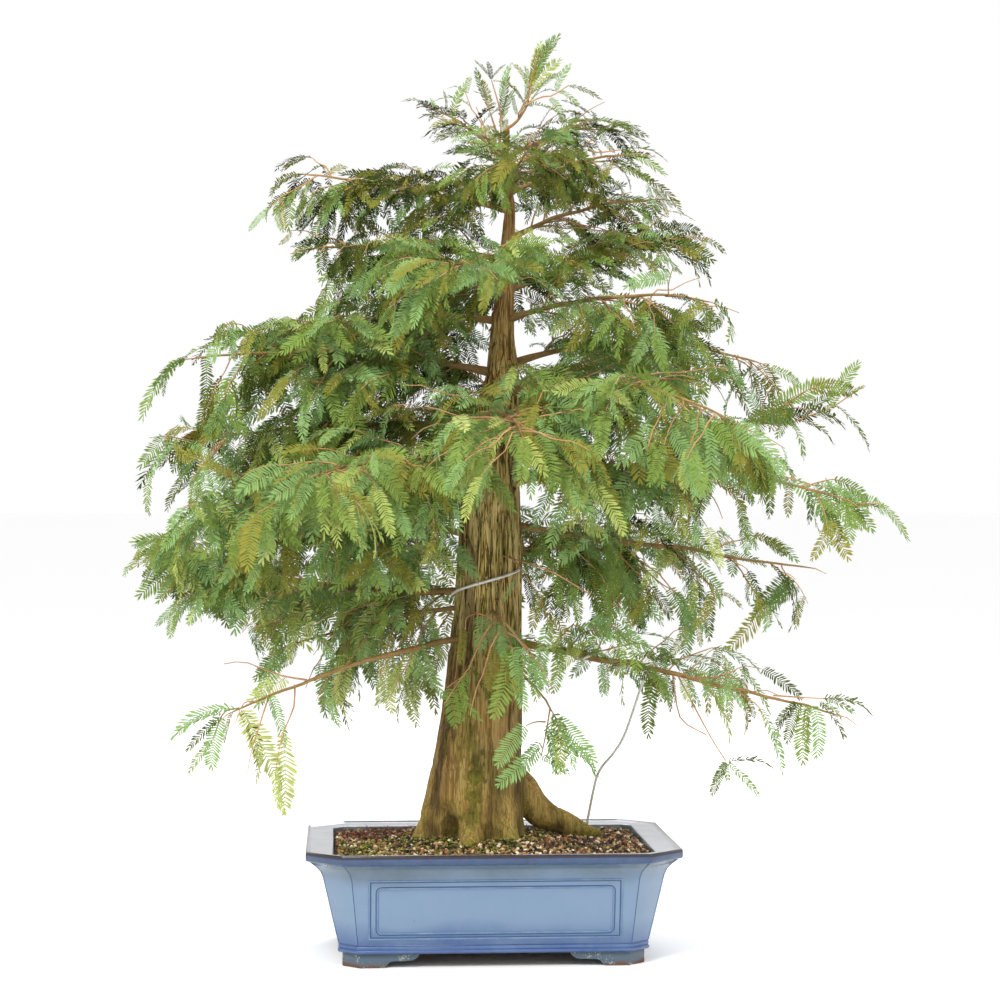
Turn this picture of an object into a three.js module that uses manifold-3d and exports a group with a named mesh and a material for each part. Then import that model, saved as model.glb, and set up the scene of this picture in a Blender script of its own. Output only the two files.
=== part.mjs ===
// Bald cypress bonsai in a blue glazed rectangular pot, as an assembly of closed solids.
// Millimetres, +Z up. The origin is on the table under the middle of the pot, +X points
// to the right of the plant and -Y to its front.

import * as THREE from 'three';
import { mergeGeometries, mergeVertices } from 'three/addons/utils/BufferGeometryUtils.js';
import Module from 'manifold-3d';

const wasm = await Module();
wasm.setup();

// Fits
const SEAT = 0.3; // air between a piece and what carries it
const SEED = 20417;

// Pot
const POT_LENGTH = 400;
const POT_DEPTH = 300;
const POT_HEIGHT = 121.5;
const FOOT_HEIGHT = 15.6;
const RIM_HEIGHT = 8.5;
const RIM_CORNER = 38;
const RIM_DRAFT = 1;
const LIP_WIDTH = 30;
const COVE_HEIGHT = 9;
const BODY_INSET_TOP = 16.5;
const BODY_INSET_FOOT = 35.2;
const BODY_CORNER_TOP = 31;
const BODY_CORNER_FOOT = 20;
const BAND_HEIGHT = 8.5;
const BAND_PROUD = 1.8;
const WALL = 12;
const OPENING_CORNER = 10;

// Pot feet, an angle at each corner with a wide upper step and a short toe
const FOOT_SPAN = 81; // along the front; the side arm is shorter
const FOOT_SIDE_SHARE = 0.8;
const FOOT_TOE = 46;
const FOOT_THICK = 24;
const FOOT_STEP = 8;
const FOOT_SETBACK = 3.5;

// Soil
const GROUND = 115.5;

// Trunk: height of a section, its middle and its radius
const TRUNK = [
  { z: GROUND + SEAT, x: -14, y: 10, r: 57 },
  { z: 164, x: -14, y: 8, r: 51.7 },
  { z: 259, x: -7, y: 3, r: 44 },
  { z: 351, x: -1.5, y: 0, r: 38 },
  { z: 458, x: 1, y: 0, r: 35 },
  { z: 520, x: 1.5, y: 0, r: 32.5 },
  { z: 582, x: 7, y: 0, r: 27 },
  { z: 629, x: 16, y: 1, r: 18.7 },
  { z: 674, x: 15, y: 2, r: 13.5 },
  { z: 756, x: 20, y: 2, r: 8.8 },
  { z: 818, x: 24, y: 0, r: 6 },
  { z: 853, x: 17, y: 0, r: 4.6 },
  { z: 903, x: 20, y: 0, r: 3.8 },
];
const TRUNK_SIDES = 20;
const FLARE_FADE = 26; // height in which the root flare dies away
const FLARE_STEPS = [8, 22]; // extra sections in the flare, over its foot
const FLARE_EDGE = 8; // how narrow each root ridge is
const FLARES = [
  { turn: 182, reach: 16 },
  { turn: -98, reach: 13 },
  { turn: -48, reach: 15 },
  { turn: 78, reach: 16 },
  { turn: 128, reach: 13 },
];

// Surface root on the right, arching from the trunk to the soil
const ROOT_PATH = [[2, 12, 206], [34, 20, 173], [58, 28, 149], [84, 36, 133], [108, 42, 121], [134, 48, 106]];
const ROOT_RADIUS = 23;
const ROOT_TOE_RADIUS = 9;
const ROOT_STEPS = 6;
const ROOT_SIDES = 8;

// Limbs. height: where the limb leaves the trunk's axis. turn: degrees about +Z from +X.
// reach: from the trunk's axis to the tip of its stem. rise: that tip's height over the start.
// bow: how far its middle arches over a straight line. spread: its longest side twigs.
// bare: share of the reach that is bare bough, 0 where the foliage springs from the trunk.
const LIMBS = [
  { name: 'right_low', height: 343, turn: -20, reach: 383, rise: -76, bow: 4, spread: 80, bare: 0.5 },
  { name: 'right_second', height: 470, turn: -3, reach: 345, rise: -50, bow: 0, spread: 95, bare: 0.34 },
  { name: 'right_long', height: 506, turn: -31, reach: 402, rise: -9, bow: 28, spread: 90, bare: 0.45 },
  { name: 'right_lifted', height: 530, turn: -12, reach: 335, rise: 75, bow: -38, spread: 65, bare: 0.45 },
  { name: 'right_middle', height: 640, turn: 10, reach: 292, rise: 10, bow: 25, spread: 100, bare: 0.28 },
  { name: 'right_fore', height: 608, turn: -52, reach: 335, rise: -30, bow: 25, spread: 100, bare: 0.3 },
  { name: 'right_inner', height: 690, turn: -34, reach: 240, rise: 14, bow: 15, spread: 85, bare: 0 },
  { name: 'right_high', height: 722, turn: -2, reach: 180, rise: 58, bow: 5, spread: 80, bare: 0 },
  { name: 'right_upper', height: 780, turn: 16, reach: 171, rise: 51, bow: 10, spread: 70, bare: 0 },
  { name: 'right_top', height: 830, turn: -21, reach: 136, rise: 38, bow: 8, spread: 60, bare: 0 },
  { name: 'right_crown', height: 868, turn: 25, reach: 113, rise: 41, bow: 8, spread: 50, bare: 0 },
  { name: 'left_pendant', height: 345, turn: -152, reach: 303, rise: -69, bow: 12, spread: 70, bare: 0.62 },
  { name: 'left_low', height: 378, turn: -178, reach: 215, rise: -43, bow: 8, spread: 80, bare: 0.35 },
  { name: 'left_long', height: 396, turn: 167, reach: 340, rise: 42, bow: -20, spread: 95, bare: 0.4 },
  { name: 'left_second', height: 450, turn: -167, reach: 315, rise: 38, bow: 10, spread: 100, bare: 0.32 },
  { name: 'left_middle', height: 569, turn: 173, reach: 322, rise: -9, bow: 12, spread: 100, bare: 0.3 },
  { name: 'left_arched', height: 631, turn: -177, reach: 332, rise: 17, bow: 15, spread: 95, bare: 0.3 },
  { name: 'left_inner', height: 690, turn: 158, reach: 253, rise: -9, bow: 12, spread: 85, bare: 0 },
  { name: 'left_high', height: 757, turn: -169, reach: 216, rise: 8, bow: 8, spread: 80, bare: 0 },
  { name: 'left_upper', height: 812, turn: 171, reach: 222, rise: 42, bow: 5, spread: 70, bare: 0 },
  { name: 'left_top', height: 868, turn: 171, reach: 68, rise: 52, bow: 5, spread: 50, bare: 0 },
  { name: 'front_shoot', height: 335, turn: -60, reach: 122, rise: -62, bow: 10, spread: 45, bare: 0 },
  { name: 'front_low', height: 372, turn: -84, reach: 142, rise: -28, bow: 12, spread: 64, bare: 0 },
  { name: 'front_left', height: 520, turn: -128, reach: 300, rise: 0, bow: 15, spread: 100, bare: 0.3 },
  { name: 'front_right', height: 575, turn: -88, reach: 270, rise: -15, bow: 15, spread: 100, bare: 0.28 },
  { name: 'front_high', height: 715, turn: -108, reach: 200, rise: 20, bow: 10, spread: 80, bare: 0 },
  { name: 'front_top', height: 825, turn: -85, reach: 115, rise: 35, bow: 8, spread: 55, bare: 0 },
  { name: 'back_right', height: 430, turn: 50, reach: 305, rise: -10, bow: 15, spread: 105, bare: 0.3 },
  { name: 'back_left', height: 490, turn: 125, reach: 290, rise: 10, bow: 15, spread: 105, bare: 0.3 },
  { name: 'back_middle', height: 600, turn: 85, reach: 265, rise: 0, bow: 15, spread: 105, bare: 0.28 },
  { name: 'back_high', height: 725, turn: 100, reach: 195, rise: 20, bow: 10, spread: 85, bare: 0 },
  { name: 'back_top', height: 835, turn: 82, reach: 120, rise: 40, bow: 8, spread: 55, bare: 0 },
  { name: 'tip_left', height: 872, turn: 150, reach: 16, rise: 42, bow: 0, spread: 30, bare: 0 },
  { name: 'tip_right', height: 903, turn: -20, reach: 24, rise: 34, bow: -8, spread: 34, bare: 0 },
];
const GIRTH_LEAST = 1.5; // radius of a limb at the trunk: this much
const GIRTH_SHARE = 0.0095; // and this share of its reach
const BOUGH_SIDES = 6;
const BOUGH_STEP = 50; // length of one straight piece of a bough
const STEM_TIP_RADIUS = 1.3;
const BOUGH_TIP_SHARE = 0.62; // a bough's girth where it meets its foliage

// Twigs and sprays of a mass
const TWIG_SPACING = 46;
const TWIG_LEAVE = 56; // degrees between a twig and its stem
const TWIG_LEAVE_RANGE = [0.75, 1.2]; // each twig's share of that
const TWIG_LOSS = 0.5; // how much shorter the twigs are at their stem's tip
const TWIG_RANGE = [0.7, 1.15]; // each twig's share of its length
const TWIG_SHORTEST = 12;
const SHORT_SHOOT = 0.4; // length of the shorter shoot of a pair
const TWIG_SAG = 0.2;
const SHOOT_LIFT = 0.5; // steepest slopes at which a twig leaves its stem
const SHOOT_FALL = 0.5;
const KNOT_LENGTH = 6; // stretch of the stem that a twig grows from
const SPRAY_LENGTH = 96;
const SPRAY_WIDTH = 50;
const SPRAY_THICK = 2.2;
const SPRAY_NECK = 2; // half-width of the blade between its teeth
const SPRAY_TEETH = 3;
const TOOTH_RAKE = 0.15; // how far a tooth points past its own pitch
const BLADE_SHARE = 0.88; // share of a spray's length that has teeth
const TOP_SPRAY = 0.68; // size of the sprays at the top against those low down
const SHRINK_FROM = 600; // heights between which the sprays shrink so
const SHRINK_TO = 920;
const SMALL_SPRAY = 0.75; // size of a spray where a full one finds no room
const SPRAY_WEEP = 1.15; // slope at which the sprays of a level limb hang
const WEEP_RANGE = [0.3, 1.4]; // each spray's share of that
const WEEP_LOSS = 1.2; // how much less they hang the steeper the limb rises
const SPRAY_ROLL = 40; // degrees either way about its own length
const SHOOT_TRIES = 12;
const SHOOT_GAP = 0.4; // between shoots of one mass
const SPACE_MARGIN = 1.5; // from foliage to the edge of its mass's own space
const HANG_DEPTH = 32; // how far under its stem the middle of a mass lies
const HANG_SLOPE = 0.2; // and how fast it comes to lie so, outward from the trunk
const LIMB_MARGIN = 5; // from foliage to limbs, trunk and wires
const SPACE_STEPS = 8; // straight pieces of a limb in these measures

// Wires
const WIRE_RADIUS = 1.5;
const WIRE_SIDES = 6;
const GUY_STEPS = 8;
const GUY_PATH = [
  [113, 74, GROUND + 3 * SEAT], [122, 54, 170], [128, 43, 192], [142, 26, 213], [153, 8, 238],
];
const GUY_SEAT = 0.93; // share of the low right bough where the wire holds it
const BAND_WIRE_HEIGHT = 390;
const BAND_WIRE_CLIMB = 27;
const BAND_WIRE_START = 186; // degrees about the trunk
const BAND_WIRE_TURN = 138;
const BAND_WIRE_STEPS = 12;

const UP = new THREE.Vector3(0, 0, 1);
const radians = THREE.MathUtils.degToRad;

// Seeded random numbers from 0 to 1, the same on every run
function randomFrom(seed) {
  let state = seed >>> 0;
  return () => {
    state = (state + 0x6d2b79f5) >>> 0;
    let mixed = state;
    mixed = Math.imul(mixed ^ (mixed >>> 15), mixed | 1);
    mixed ^= mixed + Math.imul(mixed ^ (mixed >>> 7), mixed | 61);
    return ((mixed ^ (mixed >>> 14)) >>> 0) / 4294967296;
  };
}

// A closed skin over a stack of rings, each counter-clockwise as seen from the last one
function loft(rings) {
  const size = rings[0].length;
  const points = rings.flat();
  const faces = [];
  for (let start = 0; start + size < points.length; start += size) {
    for (let k = 0; k < size; k += 1) {
      const a = start + k;
      const b = start + ((k + 1) % size);
      faces.push(a, b, b + size, a, b + size, a + size);
    }
  }
  const last = points.length - size;
  const foot = points.push(middleOf(rings[0])) - 1;
  const head = points.push(middleOf(rings[rings.length - 1])) - 1;
  for (let k = 0; k < size; k += 1) {
    const next = (k + 1) % size;
    faces.push(foot, next, k, head, last + k, last + next);
  }
  return new THREE.BufferGeometry().setFromPoints(points).setIndex(faces);
}

function middleOf(points) {
  const sum = points.reduce((total, point) => total.add(point), new THREE.Vector3());
  return sum.divideScalar(points.length);
}

// A round limb along a curve, its radius running from one end's to the other's
function taper(curve, steps, sides, startRadius, endRadius) {
  const frames = curve.computeFrenetFrames(steps, false);
  const rings = frames.tangents.map((tangent, k) => {
    const centre = curve.getPointAt(k / steps);
    const radius = THREE.MathUtils.lerp(startRadius, endRadius, k / steps);
    return Array.from({ length: sides }, (_, side) => {
      const angle = (2 * Math.PI * side) / sides;
      return centre.clone()
        .addScaledVector(frames.normals[k], radius * Math.cos(angle))
        .addScaledVector(frames.binormals[k], radius * Math.sin(angle));
    });
  });
  return loft(rings);
}

function solidOf(geometry) {
  const bare = geometry.clone();
  bare.deleteAttribute('normal');
  bare.deleteAttribute('uv');
  const merged = mergeVertices(bare, 1e-4);
  return new wasm.Manifold(new wasm.Mesh({
    numProp: 3,
    vertProperties: new Float32Array(merged.attributes.position.array),
    triVerts: new Uint32Array(merged.index.array),
  }));
}

function geometryOf(solid) {
  const mesh = solid.getMesh();
  const geometry = new THREE.BufferGeometry();
  geometry.setAttribute('position', new THREE.BufferAttribute(mesh.vertProperties, 3));
  geometry.setIndex(new THREE.BufferAttribute(mesh.triVerts, 1));
  geometry.computeVertexNormals();
  return geometry;
}

// The largest body of a solid: loose scraps are dropped and sealed hollows filled
function mainBody(solid) {
  return solid.decompose().reduce((best, body) => (body.volume() > best.volume() ? body : best));
}

// Pot
function octagon(inset, corner, z) {
  const x = POT_LENGTH / 2 - inset;
  const y = POT_DEPTH / 2 - inset;
  const corners = [
    [x, corner - y], [x, y - corner], [x - corner, y], [corner - x, y],
    [-x, y - corner], [-x, corner - y], [corner - x, -y], [x - corner, -y],
  ];
  return corners.map(([px, py]) => new THREE.Vector3(px, py, z));
}

function potBody() {
  const bandTop = FOOT_HEIGHT + BAND_HEIGHT;
  const rimFoot = POT_HEIGHT - RIM_HEIGHT;
  const coveFoot = rimFoot - COVE_HEIGHT;
  const floor = FOOT_HEIGHT + WALL;
  return loft([
    octagon(BODY_INSET_FOOT - BAND_PROUD, BODY_CORNER_FOOT, FOOT_HEIGHT),
    octagon(BODY_INSET_FOOT - BAND_PROUD, BODY_CORNER_FOOT, bandTop),
    octagon(BODY_INSET_FOOT, BODY_CORNER_FOOT, bandTop),
    octagon(BODY_INSET_TOP, BODY_CORNER_TOP, coveFoot),
    octagon(BODY_INSET_TOP / 2, BODY_CORNER_TOP, rimFoot),
    octagon(RIM_DRAFT, RIM_CORNER, rimFoot),
    octagon(0, RIM_CORNER, POT_HEIGHT),
    octagon(LIP_WIDTH, OPENING_CORNER, POT_HEIGHT),
    octagon(BODY_INSET_FOOT + WALL, OPENING_CORNER, floor),
  ]);
}

function footStep(span, low, high) {
  const x = POT_LENGTH / 2 - BODY_INSET_FOOT - FOOT_SETBACK;
  const y = POT_DEPTH / 2 - BODY_INSET_FOOT - FOOT_SETBACK;
  const corner = BODY_CORNER_FOOT;
  const [innerX, innerY] = [x - FOOT_THICK, y - FOOT_THICK];
  const sideEnd = y - span * FOOT_SIDE_SHARE;
  const plan = [
    [x, y - corner], [x - corner, y], [x - span, y], [x - span, innerY],
    [innerX - corner / 2, innerY], [innerX, innerY - corner / 2], [innerX, sideEnd], [x, sideEnd],
  ];
  const shape = new THREE.Shape(plan.map(([px, py]) => new THREE.Vector2(px, py)));
  const step = new THREE.ExtrudeGeometry(shape, { depth: high - low, bevelEnabled: false });
  return solidOf(step.translate(0, 0, low));
}

function potFoot(right, back) {
  const top = FOOT_HEIGHT - SEAT;
  const upper = footStep(FOOT_SPAN, FOOT_STEP, top);
  const toe = footStep(FOOT_TOE, 0, FOOT_STEP);
  const mirror = [right, 0, 0, 0, 0, back, 0, 0, 0, 0, 1, 0, 0, 0, 0, 1];
  return geometryOf(upper.add(toe).transform(mirror));
}

function soil() {
  const floor = FOOT_HEIGHT + WALL + SEAT;
  const level = (POT_HEIGHT - GROUND) / (POT_HEIGHT - FOOT_HEIGHT - WALL);
  const inset = THREE.MathUtils.lerp(LIP_WIDTH, BODY_INSET_FOOT + WALL, level);
  return loft([
    octagon(BODY_INSET_FOOT + WALL + SEAT, OPENING_CORNER, floor),
    octagon(inset + SEAT, OPENING_CORNER, GROUND),
  ]);
}

// Trunk
function trunkAt(z) {
  const above = Math.max(1, TRUNK.findIndex((section) => section.z >= z));
  const [low, high] = [TRUNK[above - 1], TRUNK[above]];
  const share = (z - low.z) / (high.z - low.z);
  const mix = (key) => THREE.MathUtils.lerp(low[key], high[key], share);
  return { z, x: mix('x'), y: mix('y'), r: mix('r') };
}

function trunkRing(section, grow) {
  const fade = Math.exp((GROUND - section.z) / FLARE_FADE);
  return Array.from({ length: TRUNK_SIDES }, (_, k) => {
    const angle = (2 * Math.PI * k) / TRUNK_SIDES;
    const flare = FLARES.reduce((sum, { turn, reach }) => {
      const facing = Math.max(0, Math.cos(angle - radians(turn)));
      return sum + reach * fade * facing ** FLARE_EDGE;
    }, 0);
    const radius = section.r + flare + grow;
    return new THREE.Vector3(
      section.x + radius * Math.cos(angle), section.y + radius * Math.sin(angle), section.z);
  });
}

function trunkSkin(grow) {
  const foot = TRUNK[0];
  const flare = FLARE_STEPS.map((step) => trunkAt(foot.z + step));
  const sections = [foot, ...flare, ...TRUNK.slice(1)];
  const rings = sections.map((section) => trunkRing(section, grow));
  rings[rings.length - 1].forEach((point) => point.setZ(point.z + grow));
  return solidOf(loft(rings));
}

function surfaceRoot() {
  const path = new THREE.CatmullRomCurve3(ROOT_PATH.map((point) => new THREE.Vector3(...point)));
  const root = solidOf(taper(path, ROOT_STEPS, ROOT_SIDES, ROOT_RADIUS, ROOT_TOE_RADIUS));
  const below = new THREE.BoxGeometry(POT_LENGTH, POT_DEPTH, GROUND);
  return root.subtract(solidOf(below.translate(0, 0, GROUND / 2 + SEAT)));
}

// Limbs
function limbCurve({ height, turn, reach, rise, bow }) {
  const base = trunkAt(height);
  const start = new THREE.Vector3(base.x, base.y, height);
  const out = new THREE.Vector3(Math.cos(radians(turn)), Math.sin(radians(turn)), 0);
  const along = (share) => start.clone()
    .addScaledVector(out, reach * share)
    .addScaledVector(UP, rise * share);
  const arch = bow * (4 / 3);
  return new THREE.CubicBezierCurve3(
    start, along(1 / 3).addScaledVector(UP, arch), along(2 / 3).addScaledVector(UP, arch), along(1));
}

// The stretch of a curve between two shares of its length
class Stretch extends THREE.Curve {
  constructor(curve, from, to) {
    super();
    this.curve = curve;
    this.from = from;
    this.to = to;
  }

  getPoint(share, target = new THREE.Vector3()) {
    return target.copy(this.curve.getPointAt(THREE.MathUtils.lerp(this.from, this.to, share)));
  }
}

const limbs = LIMBS.map((row) => {
  const curve = limbCurve(row);
  const length = curve.getLength();
  const stemFrom = row.bare > 0 ? row.bare + SEAT / length : 0;
  const girth = GIRTH_LEAST + GIRTH_SHARE * row.reach;
  return {
    ...row,
    girth,
    bough: new Stretch(curve, 0, row.bare),
    stem: new Stretch(curve, stemFrom, 1),
    stemLength: length * (1 - stemFrom),
    boughLength: length * row.bare,
    stemRadius: row.bare > 0 ? girth * BOUGH_TIP_SHARE : girth,
    weep: Math.max(0, 1 - Math.max(0, WEEP_LOSS * row.rise) / row.reach),
  };
});

// Wires
function guyWirePath() {
  const held = limbs.find(({ name }) => name === 'right_low');
  const radius = THREE.MathUtils.lerp(held.girth, held.stemRadius, GUY_SEAT);
  const seat = held.bough.getPoint(GUY_SEAT).addScaledVector(UP, -radius - WIRE_RADIUS);
  const points = GUY_PATH.map((point) => new THREE.Vector3(...point));
  return new THREE.CatmullRomCurve3([...points, seat]);
}

function bandWirePath() {
  const points = Array.from({ length: BAND_WIRE_STEPS + 1 }, (_, k) => {
    const share = k / BAND_WIRE_STEPS;
    const section = trunkAt(BAND_WIRE_HEIGHT + BAND_WIRE_CLIMB * share);
    const angle = radians(BAND_WIRE_START + BAND_WIRE_TURN * share);
    const radius = section.r + SEAT + WIRE_RADIUS;
    return new THREE.Vector3(
      section.x + radius * Math.cos(angle), section.y + radius * Math.sin(angle), section.z);
  });
  return new THREE.CatmullRomCurve3(points);
}

function wire(path, steps) {
  return taper(path, steps, WIRE_SIDES, WIRE_RADIUS, WIRE_RADIUS);
}

// Space of a mass: nearer to the line that its own foliage hangs about than to any other
// mass's, and clear of limbs, wires and the stems of the others
function segmentsOf(points) {
  return points.slice(1).map((point, k) => new THREE.Line3(points[k], point));
}

function hangingLine(limb) {
  return limb.stem.getSpacedPoints(SPACE_STEPS).map((point) => {
    const out = Math.hypot(point.x, point.y);
    return point.addScaledVector(UP, -Math.min(HANG_DEPTH, HANG_SLOPE * out));
  });
}

const spaces = limbs.map((limb) => ({ owner: limb.name, lines: segmentsOf(hangingLine(limb)) }));
const obstacles = [
  ...TRUNK.slice(1).map((section, k) => ({
    radius: TRUNK[k].r,
    line: new THREE.Line3(
      new THREE.Vector3(TRUNK[k].x, TRUNK[k].y, TRUNK[k].z),
      new THREE.Vector3(section.x, section.y, section.z)),
  })),
  ...limbs.filter((limb) => limb.bare > 0).flatMap((limb) =>
    segmentsOf(limb.bough.getSpacedPoints(SPACE_STEPS)).map((line) => ({ radius: limb.girth, line }))),
  ...limbs.flatMap((limb) => segmentsOf(limb.stem.getSpacedPoints(SPACE_STEPS))
    .map((line) => ({ owner: limb.name, radius: limb.stemRadius, line }))),
  ...segmentsOf(guyWirePath().getSpacedPoints(GUY_STEPS)).map((line) => ({ radius: WIRE_RADIUS, line })),
];

const nearest = new THREE.Vector3();
function distance(line, point) {
  return line.closestPointToPoint(point, true, nearest).distanceTo(point);
}

function inOwnSpace(point, name) {
  const home = spaces.find(({ owner }) => owner === name);
  const own = Math.min(...home.lines.map((line) => distance(line, point))) + 2 * SPACE_MARGIN;
  return spaces.every((space) =>
    space === home || space.lines.every((line) => distance(line, point) > own))
    && obstacles.every(({ owner, radius, line }) =>
      owner === name || distance(line, point) > radius + LIMB_MARGIN);
}

// Foliage skins. A ring is the left, top, right and bottom corner of a thin shoot, so that
// side k of the skin between two rings lies between corners k and k + 1.
class Skin {
  points = [];
  faces = [];

  add(point) {
    return this.points.push(point) - 1;
  }

  ring(place, wide, high) {
    const corners = [[0, wide, 0], [0, 0, high], [0, -wide, 0], [0, 0, -high]];
    return corners.map((corner) => this.add(new THREE.Vector3(...corner).applyMatrix4(place)));
  }

  bridge(low, high, open = []) {
    for (let k = 0; k < 4; k += 1) {
      const next = (k + 1) % 4;
      if (!open.includes(k)) {
        this.faces.push(low[k], low[next], high[next], low[k], high[next], high[k]);
      }
    }
  }

  close([a, b, c, d], head) {
    this.faces.push(...(head ? [a, b, c, a, c, d] : [a, c, b, a, d, c]));
  }

  neck({ place, size }) {
    return this.ring(place, SPRAY_NECK, (SPRAY_THICK / 2) * size);
  }

  // A keeled blade with teeth that point to its tip, grown on from its root ring
  blade({ place, size }, root) {
    const pitch = (SPRAY_LENGTH * size * BLADE_SHARE) / SPRAY_TEETH;
    const keel = (SPRAY_THICK / 2) * size;
    const at = (x, y, z) => this.add(new THREE.Vector3(x, y, z).applyMatrix4(place));
    const rings = [root];
    const teeth = [];
    for (let k = 1; k <= SPRAY_TEETH; k += 1) {
      const x = k * pitch;
      const wide = sprayHalfWidth(k / SPRAY_TEETH) * size;
      const reach = x + TOOTH_RAKE * pitch;
      rings.push([at(x, SPRAY_NECK, 0), at(x, 0, keel), at(x, -SPRAY_NECK, 0), at(x, 0, -keel)]);
      teeth.push([at(reach, wide, 0), at(reach, -wide, 0)]);
    }
    const tip = at(SPRAY_LENGTH * size, 0, 0);
    const face = (a, b, c) => this.faces.push(a, b, c);
    // Each quarter of the blade's skin lies between a neck corner and a keel corner
    [0, 1, 2, 3].forEach((first) => {
      const second = (first + 1) % 4;
      const side = first === 0 || first === 3 ? 0 : 1;
      const neckFirst = first % 2 === 0;
      teeth.forEach((tooth, k) => {
        const [low, high] = [rings[k], rings[k + 1]];
        face(low[first], low[second], tooth[side]);
        if (neckFirst) {
          face(tooth[side], low[second], high[first]);
          face(low[second], high[second], high[first]);
        } else {
          face(low[first], tooth[side], high[second]);
          face(low[first], high[second], high[first]);
        }
      });
      face(rings[SPRAY_TEETH][first], rings[SPRAY_TEETH][second], tip);
    });
  }

  geometry() {
    return new THREE.BufferGeometry().setFromPoints(this.points).setIndex(this.faces);
  }
}

// A spray is widest at its middle
function sprayHalfWidth(share) {
  return (SPRAY_WIDTH / 2) * Math.sin(Math.PI * (0.2 + 0.6 * share));
}

const bladePoints = [0.1, 0.3, 0.5, 0.7, 0.9, 1].flatMap((share) =>
  [-1, -0.5, 0, 0.5, 1].map((across) =>
    new THREE.Vector3(share * SPRAY_LENGTH, across * sprayHalfWidth(share), 0)));

// A frame whose X is the heading, Y its left and Z its upper side, rolled about the heading
function frameAt(root, heading, roll = 0) {
  const left = new THREE.Vector3().crossVectors(UP, heading).normalize()
    .applyAxisAngle(heading, roll);
  const face = new THREE.Vector3().crossVectors(heading, left);
  return new THREE.Matrix4().makeBasis(heading, left, face).setPosition(root);
}

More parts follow.
